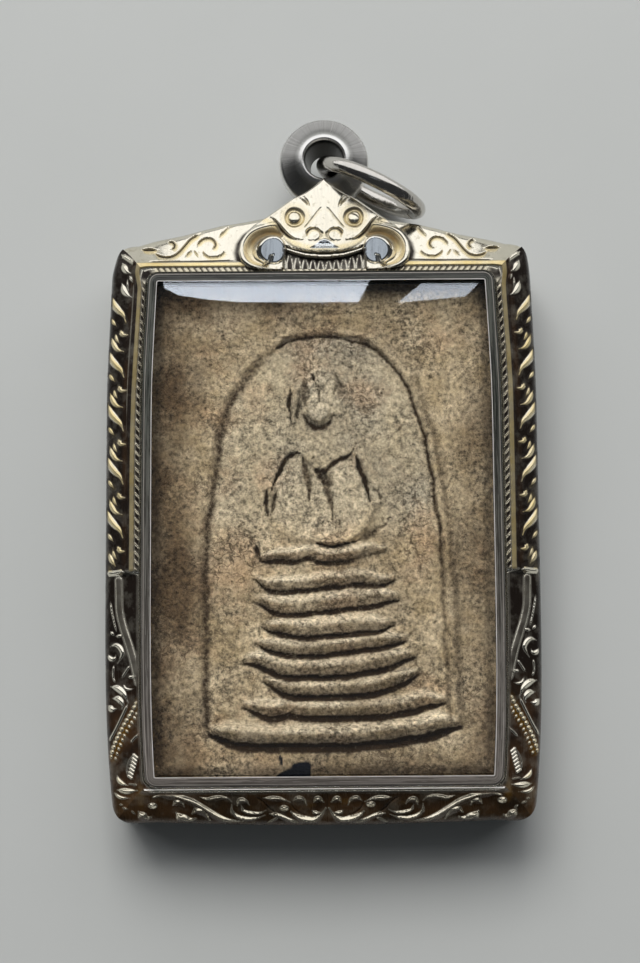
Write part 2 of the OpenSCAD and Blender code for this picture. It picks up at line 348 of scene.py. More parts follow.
def make_handling_marks():
    """Fine rubbing marks and smears that handling leaves on metal and acrylic."""
    mix, given, result = new_group("handling_marks", {"Marks": 300.0, "Smears": 120.0}, ("Streaks", "Cloud"))
    where = mix.where()
    streaks = []
    for turn, stretch, detail in ((0.6, (12.0, 1.0, 4.0), 3.0), (-1.1, (9.0, 1.0, 3.0), 2.0)):
        drawn = mix.add("Mapping", {"Vector": where, "Rotation": (0.0, 0.0, turn), "Scale": stretch})
        streaks.append(mix.noise(drawn.outputs[0], given["Marks"], detail, 0.5))
    mix.feed(result, {
        "Streaks": mix.ramp(mix.times(*streaks), 0.2, 0.4),
        "Cloud": mix.ramp(mix.noise(where, given["Smears"], 4.0, 0.5), 0.35, 0.7),
    })
    return mix.tree


def make_tarnish_and_shade():
    """The dark mask for patina that stays in recesses, and for painted shade where the light does not reach;
    it thins out unevenly.
    """
    mix, given, result = new_group("tarnish_and_shade", {"Hollow": 0.0, "Spread": 0.5}, ("Mask",))
    patchy = mix.ramp(mix.noise(mix.where(), 900.0, 5.0), 0.3, 0.7, -1.0, 1.0)
    edge = mix.plus(mix.times(patchy, given["Spread"]), 1.0)
    mix.feed(result, {"Mask": mix.times(given["Hollow"], edge, clamp=True)})
    return mix.tree


handling_marks = make_handling_marks()
tarnish_and_shade = make_tarnish_and_shade()


def make_silver_gilt():
    """Polished cast silver with gilt laid in its lines and dark patina in its recesses; the same dark mask
    also paints shade on the outer walls, under the crest's swag and on faces turned from the light.
    """
    mix = Finish("silver_gilt")
    marks = mix.group(handling_marks, {"Marks": 500.0, "Smears": 260.0})
    dark = mix.group(tarnish_and_shade, {"Hollow": mix.marked("dirt_and_shade"), "Spread": 0.12})["Mask"]
    where = mix.where()
    worn = mix.ramp(mix.noise(where, 700.0), 0.3, 0.62, 0.55)
    gilt = mix.times(mix.marked("gilt"), worn, clamp=True)
    silver = mix.blend(marks["Cloud"], (0.86, 0.81, 0.69), (0.79, 0.74, 0.61))
    gold = mix.blend(marks["Cloud"], (0.88, 0.71, 0.34), (0.64, 0.49, 0.20))
    metal = mix.blend(gilt, silver, gold)
    metal = mix.blend(mix.times(marks["Streaks"], 0.1), metal, (0.42, 0.38, 0.30))
    speckle = mix.ramp(mix.noise(where, 2400.0, 3.0), 0.42, 0.3, 0.0, 0.5)
    metal = mix.blend(speckle, metal, (0.50, 0.44, 0.31))
    metal = mix.blend(mix.marked("bare"), metal, (0.78, 0.80, 0.79))
    warm = mix.times(mix.marked("warm"), mix.ramp(mix.noise(where, 380.0, 5.0), 0.35, 0.6), clamp=True)
    # The dark colour for patina, dirt and painted shade, warmer where marked.
    grime_and_shade_tone = mix.blend(warm, (0.019, 0.014, 0.011), (0.08, 0.042, 0.02))
    lacquer = mix.times(mix.marked("amber"), mix.ramp(mix.noise(where, 800.0, 4.0), 0.3, 0.6, 0.3))
    grime_and_shade_tone = mix.blend(lacquer, grime_and_shade_tone, (0.17, 0.088, 0.014))
    solid = mix.less(1.0, mix.times(gilt, 0.25))
    rough = mix.plus(mix.times(marks["Streaks"], 0.07), mix.times(gilt, 0.28))
    rough = mix.plus(rough, mix.times(dark, 0.12))
    chased = mix.times(mix.noise(where, 1500.0, 3.0), dark)
    grain = mix.times(mix.noise(where, 6000.0, 2.0), 0.12)
    height = mix.plus(mix.plus(mix.times(marks["Cloud"], 0.35), grain), mix.times(chased, 4.0))
    return mix.done({
        "Base Color": mix.blend(dark, metal, grime_and_shade_tone),
        "Metallic": mix.less(solid, mix.times(dark, 0.65), clamp=True),
        "Specular IOR Level": 0.3,
        "Roughness": mix.plus(rough, 0.1),
    }, bump=(height, 0.3, 0.00004))


def make_ring_silver():
    """The ring's plain polished silver, brushed by wear."""
    mix = Finish("ring_silver")
    marks = mix.group(handling_marks, {"Marks": 500.0, "Smears": 300.0})
    return mix.done({
        "Base Color": mix.blend(marks["Cloud"], (0.66, 0.63, 0.58), (0.5412, 0.5166, 0.4756)),
        "Metallic": 1.0,
        "Roughness": mix.ramp(marks["Streaks"], 0.0, 1.0, 0.13, 0.27),
    }, bump=(marks["Streaks"], 0.3, 0.00003))


def make_turned_silver():
    """The bail's turned faces: dull with age between two bright lips, brushed outward, with painted shade
    darkening the inside of the hole.
    """
    mix = Finish("turned_silver")
    dull = mix.marked("dirt_and_shade")
    centred = mix.add("Mapping", {"Vector": mix.where(), "Location": tuple(-c * MM for c in BAIL_AT)})
    turned = mix.add("SeparateXYZ", {"Vector": centred.outputs[0]}).outputs
    spokes = mix.add("CombineXYZ", {"X": mix.reckon("ARCTAN2", turned["Y"], turned["X"])})
    brushed = mix.noise(spokes.outputs[0], 22.0, 5.0, 0.7)
    tone = mix.blend(dull, (0.80, 0.79, 0.76), (0.34, 0.335, 0.32))
    shade = mix.blend(mix.ramp(brushed, 0.4, 0.75), tone, (0.20, 0.195, 0.185))
    return mix.done({
        "Base Color": mix.blend(mix.marked("deep"), mix.blend(dull, tone, shade), (0.05, 0.048, 0.044)),
        "Metallic": 1.0,
        "Roughness": mix.ramp(brushed, 0.3, 0.7, 0.22, 0.42),
    }, bump=(brushed, 0.35, 0.00003))


def make_clear_acrylic(name, tint):
    """Clear acrylic with light handling marks; lamps shine through it."""
    mix = Finish(name)
    marks = mix.group(handling_marks, {"Marks": 260.0, "Smears": 90.0})
    material = mix.done({
        "Base Color": tint,
        "Transmission Weight": 1.0,
        "IOR": 1.49,
        "Roughness": mix.ramp(marks["Cloud"], 0.0, 1.0, 0.0, 0.012),
    })
    path = mix.add("LightPath").outputs["Is Shadow Ray"]
    clear = mix.add("BsdfTransparent", {"Color": (0.93, 0.93, 0.93)})
    both = mix.add("MixShader", {0: path, 1: mix.shader.outputs[0], 2: clear.outputs[0]})
    mix.feed(mix.tree.nodes["Material Output"], {"Surface": both.outputs[0]})
    return material


def make_frosted_rim():
    """The cover's saw-cut side walls and its rounded rim: clear but streaked and a little milky, with painted
    shade towards the top and a thin painted highlight line.
    """
    mix = Finish("frosted_rim")
    inward = mix.marked("inward")
    at = mix.add("SeparateXYZ", {"Vector": mix.where()}).outputs
    along = {
        "X": mix.times(inward, 0.001),
        "Y": mix.times(mix.plus(at["X"], at["Y"]), 0.03),
        "Z": mix.times(at["Z"], 0.5),
    }
    streaks = mix.noise(mix.add("CombineXYZ", along).outputs[0], 9000.0, 3.0)
    low = mix.blend(mix.ramp(streaks, 0.38, 0.62), (0.10, 0.088, 0.078), (0.23, 0.205, 0.185))
    high = mix.blend(mix.ramp(streaks, 0.4, 0.7), (0.022, 0.024, 0.02), (0.115, 0.12, 0.10))
    # Painted shade: darker towards the top, and almost black with little reflection at the top end.
    tone = mix.blend(mix.ramp(at["Y"], -0.022, 0.004), low, high)
    top_end = 0.0128, 0.0134
    tone = mix.blend(mix.ramp(at["Y"], *top_end, 0.0, 0.85), tone, (0.006, 0.006, 0.005))
    # A thin pale line painted as a highlight, just inside the outer edge.
    line = mix.ramp(mix.reckon("ABSOLUTE", mix.less(inward, 0.2)), 0.045, 0.02)
    return mix.done({
        "Base Color": mix.blend(mix.times(line, 0.7, clamp=True), tone, (0.46, 0.42, 0.38)),
        "Transmission Weight": 0.25,
        "IOR": 1.49,
        "Roughness": mix.ramp(streaks, 0.3, 0.7, 0.12, 0.4),
        "Specular IOR Level": mix.ramp(at["Y"], *top_end, 0.5, 0.02),
    })


def make_painted_highlight_line(name, light, dark):
    """A thin pale line painted as a highlight, such as along the cover's inner edge."""
    mix = Finish(name)
    marks = mix.group(handling_marks, {"Marks": 900.0, "Smears": 500.0})
    return mix.done({
        "Base Color": mix.blend(marks["Cloud"], light, dark),
        "Roughness": mix.ramp(marks["Streaks"], 0.0, 1.0, 0.35, 0.6),
    })


def make_clay():
    """Old pressed clay: pale beige, brown towards the edges, with pits and dark lines, painted shade under
    the tiers, and painted light on the upper faces that turn towards the light.
    """
    mix = Finish("pressed_clay")
    where = mix.where()
    inside = mix.marked("inside")
    broad = mix.ramp(mix.noise(where, 160.0, 6.0, 0.65), 0.3, 0.7, -0.42, 0.42)
    brown = mix.plus(mix.marked("edge"), broad, clamp=True)
    fine = mix.ramp(mix.noise(where, 420.0, 5.0), 0.35, 0.65)
    pale = mix.blend(fine, (0.65, 0.53, 0.36), (0.40, 0.31, 0.185))
    pale = mix.blend(mix.times(inside, 0.45), pale, (0.53, 0.465, 0.335))
    ashen = mix.times(mix.ramp(mix.noise(where, 130.0, 3.0), 0.45, 0.62), inside)
    pale = mix.blend(mix.times(ashen, 0.55), pale, (0.40, 0.37, 0.30))
    rosy = mix.ramp(mix.noise(where, 240.0, 4.0), 0.5, 0.64, 0.0, 0.5)
    pale = mix.blend(rosy, pale, (0.47, 0.31, 0.185))
    # Painted light: the faces that turn towards the light are painted paler, in patches.
    patchy = mix.ramp(mix.noise(where, 520.0, 4.0), 0.3, 0.6, 0.25, 0.7)
    pale = mix.blend(mix.times(mix.marked("painted_light"), patchy), pale, (0.76, 0.66, 0.49))
    colour = mix.blend(brown, pale, (0.11, 0.072, 0.038))
    grains = mix.noise(where, 2900.0, 6.0, 0.8)
    calm = mix.ramp(mix.noise(where, 300.0, 4.0), 0.35, 0.65, 0.6, 1.15)
    spread = mix.times(mix.ramp(grains, 0.36, 0.64, -0.9, 0.72), calm)
    mottle = mix.ramp(mix.noise(where, 210.0, 5.0), 0.3, 0.7, -0.22, 0.2)
    shade = mix.reckon("MAXIMUM", mix.plus(mix.plus(spread, mottle), 1.0), 0.22)
    colour = mix.blend(1.0, colour, shade, "MULTIPLY")
    wrinkles = mix.reckon("ABSOLUTE", mix.less(mix.noise(where, 1000.0, 3.0, 0.55), 0.5))
    creased = mix.ramp(mix.noise(where, 260.0, 2.0), 0.48, 0.6)
    creases = mix.times(mix.ramp(wrinkles, 0.035, 0.008), creased)
    pits = mix.ramp(mix.noise(where, 1500.0, 3.0), 0.34, 0.28)
    colour = mix.blend(mix.times(pits, 0.75), colour, (0.05, 0.032, 0.018))
    colour = mix.blend(mix.times(creases, 0.6), colour, (0.09, 0.06, 0.035))
    # Painted shadow and shade, with the clay's own dark lines: the darkening mark turns the clay dark brown.
    uneven = mix.times(mix.marked("dirt_and_shade"), mix.ramp(grains, 0.36, 0.62, 1.5, 0.9), clamp=True)
    colour = mix.blend(uneven, colour, (0.034, 0.020, 0.010))
    height = mix.plus(mix.times(grains, 1.5), mix.times(mix.noise(where, 750.0, 3.0), 0.9))
    height = mix.less(mix.less(height, mix.times(pits, 0.6)), mix.times(creases, 0.5))
    return mix.done({
        "Base Color": mix.blend(mix.marked("fleck"), colour, (0.006, 0.007, 0.012)),
        "Roughness": 0.92,
        "Specular IOR Level": 0.08,
    }, bump=(height, 1.0, 0.00015))


def make_floor():
    """A plain pale floor with a faint mottle."""
    mix = Finish("pale_floor")
    mottle = mix.noise(mix.where(), 60.0, 3.0)
    return mix.done({
        "Base Color": mix.blend(mottle, (0.53, 0.543, 0.53), (0.565, 0.575, 0.565)),
        "Roughness": 0.7,
    })


silver_gilt = make_silver_gilt()
clay = make_clay()

# Scrolls of the side bands: across is measured inward from the outer edge, down from each start.
SIDE_STARTS = (12.34, 8.25, 4.35, 0.5, -3.35, -7.1)
SIDE_SCROLL = (
    (((0.10, 0), (0.36, 0.70), (0.76, 1.22), (1.13, 1.60), (1.36, 2.14)), 0.19, "leaf"),
    (((0.20, 1.74), (0.40, 2.07), (0.66, 2.38)), 0.10, "leaf"),
    (((1.02, 2.84), (1.17, 3.10), (1.58, 3.14)), 0.15, "tail"),
    (((0.33, 3.2), (0.52, 3.73), (0.82, 4.14), (1.30, 4.33)), 0.14, "leaf"),
    (((0.62, 2.95), (0.70, 3.35), (0.95, 3.7)), 0.09, "leaf"),
)
TOP_CORNER = (
    (((-14.42, 13.05), (-14.26, 12.49), (-14.01, 12.16), (-13.7, 11.95)), 0.17, "leaf"),
    (((-14.01, 13.4), (-14.01, 12.78), (-13.88, 12.32)), 0.06, "leaf"),
    (((-13.86, 13.55), (-13.8, 13.44), (-13.55, 12.99)), 0.10, "leaf"),
    (((-14.42, 14.6), (-14.14, 13.98), (-13.8, 13.75)), 0.18, "leaf"),
    (((-14.5, 15.28), (-13.95, 14.83), (-13.4, 14.38)), 0.13, "even"),
)
LOWER_SIDE = (
    (((-15.45, -7.98), (-14.8, -8.02), (-14.15, -7.95)), 0.15, "even"),
    (((-15.17, -9.94), (-15.05, -10.67), (-14.86, -11.54), (-14.67, -12.23)), 0.06, "even"),
    (((-15.14, -12.12), (-14.85, -12.45)), 0.08, "leaf"),
    (((-14.74, -12.49), (-14.48, -12.47), (-14.19, -12.38)), 0.09, "leaf"),
    (((-15.15, -13.2), (-14.76, -13.1), (-14.44, -13.28), (-14.25, -13.7), (-14.4, -14.1), (-14.6, -14.4)),
     0.13, "leaf"),
    (((-15.3, -13.75), (-15.2, -13.98), (-15.0, -14.1), (-14.8, -14.02), (-14.72, -13.8)), 0.12, "leaf"),
    (((-14.89, -14.51), (-14.92, -15.31), (-14.76, -15.78)), 0.06, "even"),
    (((-14.26, -15.42), (-13.69, -14.59)), 0.07, "even"),
    (((-13.79, -15.38), (-13.21, -15.38)), 0.08, "even"),
    (((-14.18, -15.81), (-14, -16.17), (-13.67, -16.26), (-13.31, -16.17)), 0.08, "leaf"),
    (((-15.09, -16.03), (-14.58, -16.17), (-14.14, -16.53), (-13.83, -17.11)), 0.17, "leaf"),
    (((-14.95, -16.85), (-14.5, -16.92), (-14.2, -17.3), (-14.25, -17.6)), 0.16, "leaf"),
    (((-15.3, -17.35), (-15.0, -17.62), (-14.65, -17.58)), 0.16, "leaf"),
    (((-13.77, -17.16), (-14.35, -18.34), (-14.82, -19.23), (-15.31, -20)), 0.08, "even"),
    (((-12.85, -19.3), (-13.26, -19.6), (-13.62, -19.97)), 0.07, "even"),
    (((-13.21, -20.63), (-13.64, -21.14), (-13.86, -21.73), (-13.82, -22.32)), 0.05, "even"),
    (((-13.77, -22.83), (-13.1, -22.92)), 0.05, "even"),
    (((-14.58, -23.27), (-13.84, -23.35), (-13.1, -23.29)), 0.15, "leaf"),
    (((-14.84, -23.42), (-14.35, -23.79), (-13.61, -23.82)), 0.09, "leaf"),
    (((-14.46, -24.26), (-14.12, -24.3)), 0.06, "leaf"),
    (((-14.23, -24.48), (-13.75, -24.61)), 0.06, "leaf"),
    (((-13.6, -24.66), (-13.23, -25.03)), 0.06, "leaf"),
)
CORNER_LEAF = (((-14.6, -22.25), (-14.48, -22.58), (-14.22, -22.8), (-13.77, -22.97)), 0.17, "leaf")
SPEAR_EDGE = ((-14.55, -8.5), (-14.52, -9.43), (-14.47, -10.67), (-14.2, -11.83), (-13.9, -12.7),
              (-13.52, -13.86), (-13.22, -15.02), (-13.06, -15.74))
RIBBON = ((-13.2, -17.25), (-13.57, -17.9), (-14.18, -18.86), (-14.74, -19.97), (-15.1, -20.95))
FOOT_SCROLLS = (
    (((-13.05, -24.7), (-12.8, -25.0), (-12.5, -25.15), (-12.2, -25.08)), 0.15, "leaf"),
    (((-11.95, -23.68), (-11.32, -23.54), (-10.43, -23.64), (-9.61, -23.9), (-9.09, -24.12),
      (-8.34, -24.59), (-7.53, -25.1), (-6.71, -25.47), (-5.82, -25.61), (-4.97, -25.55)), 0.12, "even"),
    (((-10.62, -24.25), (-10.3, -24.02), (-9.98, -24.12), (-9.85, -24.35)), 0.12, "leaf"),
    (((-10.4, -24.8), (-10.1, -25.15), (-9.6, -25.34), (-9.05, -25.2)), 0.17, "leaf"),
    (((-9.3, -24.85), (-8.95, -24.62), (-8.5, -24.75), (-8.08, -25.3)), 0.14, "leaf"),
    (((-8.72, -23.68), (-8.2, -23.86), (-7.76, -23.79), (-7.31, -23.73), (-6.79, -23.79),
      (-6.48, -24.04)), 0.09, "leaf"),
    (((-6.5, -24.23), (-6.49, -24.74), (-6.12, -25.1), (-5.53, -25.25), (-4.79, -25.2),
      (-4.19, -24.99)), 0.09, "leaf"),
    (((-6.12, -24.3), (-5.9, -23.98), (-5.5, -24.02), (-5.3, -24.25)), 0.11, "leaf"),
    (((-5.85, -24.26), (-5.68, -24.69), (-5.15, -24.86), (-4.54, -24.84), (-4.1, -24.64)), 0.08, "leaf"),
    (((-4.28, -23.78), (-3.58, -23.82), (-3.05, -23.87), (-2.39, -24.08)), 0.09, "leaf"),
    (((-3.84, -24.9), (-3.22, -25.03), (-2.52, -25.34), (-1.65, -25.68)), 0.08, "even"),
    (((-4.1, -25.64), (-3.66, -25.38), (-3.22, -25.16)), 0.05, "even"),
    (((-2.35, -24.77), (-1.91, -25.16), (-1.39, -25.38), (-0.77, -25.42), (-0.25, -25.03),
      (0.1, -24.52)), 0.15, "leaf"),
    (((-2.2, -23.98), (-1.85, -23.84), (-1.45, -23.98), (-1.25, -24.3)), 0.10, "leaf"),
    (((-0.75, -24.1), (-0.45, -23.88), (-0.05, -24.1)), 0.11, "leaf"),
    (((-0.86, -24.69), (-0.64, -24.88), (-0.25, -24.82)), 0.09, "leaf"),
)
FOOT_CUTS = (
    (((-4.89, -23.74), (-4.28, -24.17), (-3.84, -24.64), (-3.22, -25.03)), 0.10, "even"),
    (((-2.35, -24), (-2.22, -24.52), (-1.74, -24.95), (-1.21, -25.12)), 0.09, "even"),
    (((0.2, -23.74), (0.2, -25.72)), 0.07, "even"),
)
TOP_CUTS = (
    (((-13.1, 15.72), (-12.46, 15.7), (-11.8, 15.6)), 0.2, "leaf"),
    (((-12.24, 15.49), (-11.7, 15.08), (-11.17, 14.97), (-10.67, 15.08), (-10.28, 15.45),
      (-9.95, 15.91), (-9.57, 16.45), (-9.12, 16.8), (-8.65, 17.08)), 0.13, "even"),
    (((-11.18, 16.25), (-10.91, 16.35), (-10.68, 16.11), (-10.71, 15.82), (-10.92, 15.69)), 0.13, "even"),
    (((-9.89, 14.97), (-9.56, 15.35), (-9.28, 15.65)), 0.10, "leaf"),
    (((-9.25, 15.59), (-9.02, 15.22), (-8.86, 14.9)), 0.09, "leaf"),
    (((-9.03, 15.82), (-8.89, 16.18), (-8.56, 16.49), (-8.11, 16.54), (-7.78, 16.32), (-7.66, 15.98),
      (-7.8, 15.69), (-8.05, 15.59)), 0.12, "even"),
    (((-8.61, 15.56), (-8.44, 15.19), (-8.05, 14.93), (-7.55, 14.95), (-7.16, 15.13),
      (-6.88, 15.56)), 0.10, "even"),
    (((-7.53, 16.49), (-7.33, 16.78), (-7.06, 17.1), (-6.78, 17.44), (-6.39, 17.58)), 0.11, "leaf"),
)
CREST_SIDE = ((13.88, 4.6), (14, 5.35), (14.5, 5.87), (15.25, 6.03), (16, 5.88), (16.7, 5.46),
              (17.35, 4.85), (17.95, 3.95), (18.35, 3.42), (18.85, 2.77), (19.35, 2.12), (19.8, 1.25),
              (20.2, 0.8), (20.6, 0.42), (21.05, 0.06))
TOP_RISE = ((4.49, 1.99), (5.74, 1.77), (7.6, 1.5), (9.06, 1.16), (10.5, 0.78), (12, 0.48),
            (13, 0.28), (13.8, 0.1), (14.2, 0))


def side_scrolls():
    """The side scroll repeated down the band, each at its own start."""
    made = []
    for start in SIDE_STARTS:
        for points, half, taper in SIDE_SCROLL:
            line = [(-HALF_W * waist(start - down) + across, start - down) for across, down in points]
            line = [point for point in line if point[1] > -7.6]
            if len(line) > 1:
                made.append((line, half, taper))
    return made


def bezel_relief(x, y, edge):
    """Height, darkening, gilt and amber of the cast ornament at each point of a side or foot band; the
    darkening is patina in the recesses, and painted shade on faces turned from the light.
    """
    left = -np.abs(x)
    upper = step_between(-7.95, -7.75, y)
    foot_y = y
    y = y - 0.25 * (x > 0) * step_between(-8.4, -9.6, y)
    drawn = stroke_relief(left, y, side_scrolls() + list(TOP_CORNER), 0.9, 0.3, 1.5) * upper
    drawn = np.maximum(drawn, stroke_relief(left, y, LOWER_SIDE, 0.95, 0.28, 1.6))
    left_foot = np.where(x > 0.2, 0.4 - x, x)
    drawn = np.maximum(drawn, stroke_relief(left_foot, foot_y + 0.09, FOOT_SCROLLS, 1.15, 0.4, 2.3))
    # Painted shade on the lower flanks of the foot's strokes, which face away from the light.
    higher_up = stroke_relief(left_foot, foot_y + 0.14, FOOT_SCROLLS, 1.15, 0.4, 2.3)
    far_flank = step_between(0.0, 0.03, higher_up - drawn) * (higher_up > 0)
    carved = stroke_relief(left_foot, foot_y, FOOT_CUTS, slope=1.6)
    for at in ((-12.05, -24.37), (-2.83, -24.6)):
        drawn = np.maximum(drawn, 0.25 * hump(np.hypot((left_foot - at[0]) / 1.5, y - at[1]), 0.27))
    line, _ = smooth_line(RIBBON)
    beads = np.zeros(len(x))
    for share in np.linspace(0, 1, 13):
        at = line[int(share * (len(line) - 1))]
        beads = np.maximum(beads, hump(np.hypot(left - at[0], y - at[1]), 0.21))
        dash = ((at[0] + 0.28, at[1]), (at[0] + 0.52, at[1] - 0.3))
        beads = np.maximum(beads, 6 * stroke_relief(left, y, ((dash, 0.11, "leaf"),)))
    for i in range(7):
        share = i / 6
        a = (-13.46 - 0.38 * share, -20.74 - 1.47 * share)
        b = (-13.04 - 0.39 * share, -21.09 - 1.41 * share)
        drawn = np.maximum(drawn, stroke_relief(left, y, (((a, b), 0.13, "even"),)))
    leaf = stroke_relief(left, y, (CORNER_LEAF,))
    drawn = most(drawn, 0.17 * beads, leaf)
    amber = most(
        ridge_along(left - 0.2, y, RIBBON, 0.6),
        0.8 * hump(np.hypot((left + 12.85) / 0.6, (y + 23.7) / 1.5), 0.9),
        0.14 * (y < -23.2),
        0.5 * hump(np.hypot(left_foot + 1.1, (y + 24.4) / 0.5), 0.9),
        0.35 * hump(np.hypot((left_foot + 5.0) / 1.2, (y + 24.5) / 0.4), 0.9),
    )
    gilt = most(0.7 * beads, 4 * leaf, 0.2 * (y < -22.5))
    for start in SIDE_STARTS:
        for points, _, _ in SIDE_SCROLL:
            main = [(-HALF_W * waist(start - down) + across, start - down) for across, down in points]
            near, gap, _ = near_line(left, y, main, 0.26)
            gilt[near] = np.maximum(gilt[near], 0.9 * step_between(0.26, 0.1, gap) * upper[near])
    blade = ridge_along(left, y, SPEAR_EDGE, 0.45)
    drawn += 0.1 * blade
    drawn *= step_between(0, 0.22, edge)
    dirt_and_shade = (1 - step_between(0.005, 0.06, drawn)) + 0.5 * step_between(0.03, 0.15, carved)
    dirt_and_shade = np.clip(dirt_and_shade - 0.1 * (drawn < 0.1) * step_between(0.1, 0.6, blade), 0, 1)
    # Painted shade on the spear blade's flat face and on the foot strokes' lower flanks.
    dirt_and_shade = most(dirt_and_shade, 0.86 * step_between(0.3, 0.8, blade), 0.95 * far_flank * (y < -23))
    return drawn - carved * step_between(0, 0.22, edge), dirt_and_shade, gilt, amber


def top_relief(x, y, edge):
    """Height, darkening, gilt and amber of the cut ornament on the top band."""
    left = -np.abs(x) + 0.3 * (x > 0) * step_between(13.5, 9.0, x)
    cut = stroke_relief(left, y, TOP_CUTS, 1.9, 0.26, 0.95) * step_between(0, 0.2, edge)
    dirt_and_shade = step_between(0.05, 0.18, cut)
    gilt = 0.75 * step_between(0.0, 0.12, cut)
    shade = stroke_relief(left - 0.08, y + 0.16, TOP_CUTS, 1.0, 0.3, 2.2)
    gilt = np.maximum(gilt, 0.75 * step_between(0.0, 0.22, shade))
    behind = np.interp(y, *np.array(CREST_SIDE).T) - 0.6 + 0.56 * (x > 0)
    beyond = np.abs(x) - behind - 0.6
    crevice = step_between(0.45, 0.1, beyond) * (beyond > -0.5) * step_between(17.3, 16.8, y)
    dirt_and_shade = np.maximum(dirt_and_shade, crevice)
    under = step_between(0, 0.4, behind - np.abs(x)) * step_between(13.9, 14.1, y)
    return -cut - 1.2 * under, dirt_and_shade, gilt, np.zeros(len(x))


# What each row of a band's grid belongs to.
PLAIN, FACE, BROW, WALL = range(4)
CHAMFER_AT = 6.93
CHAMFER_R = 0.12


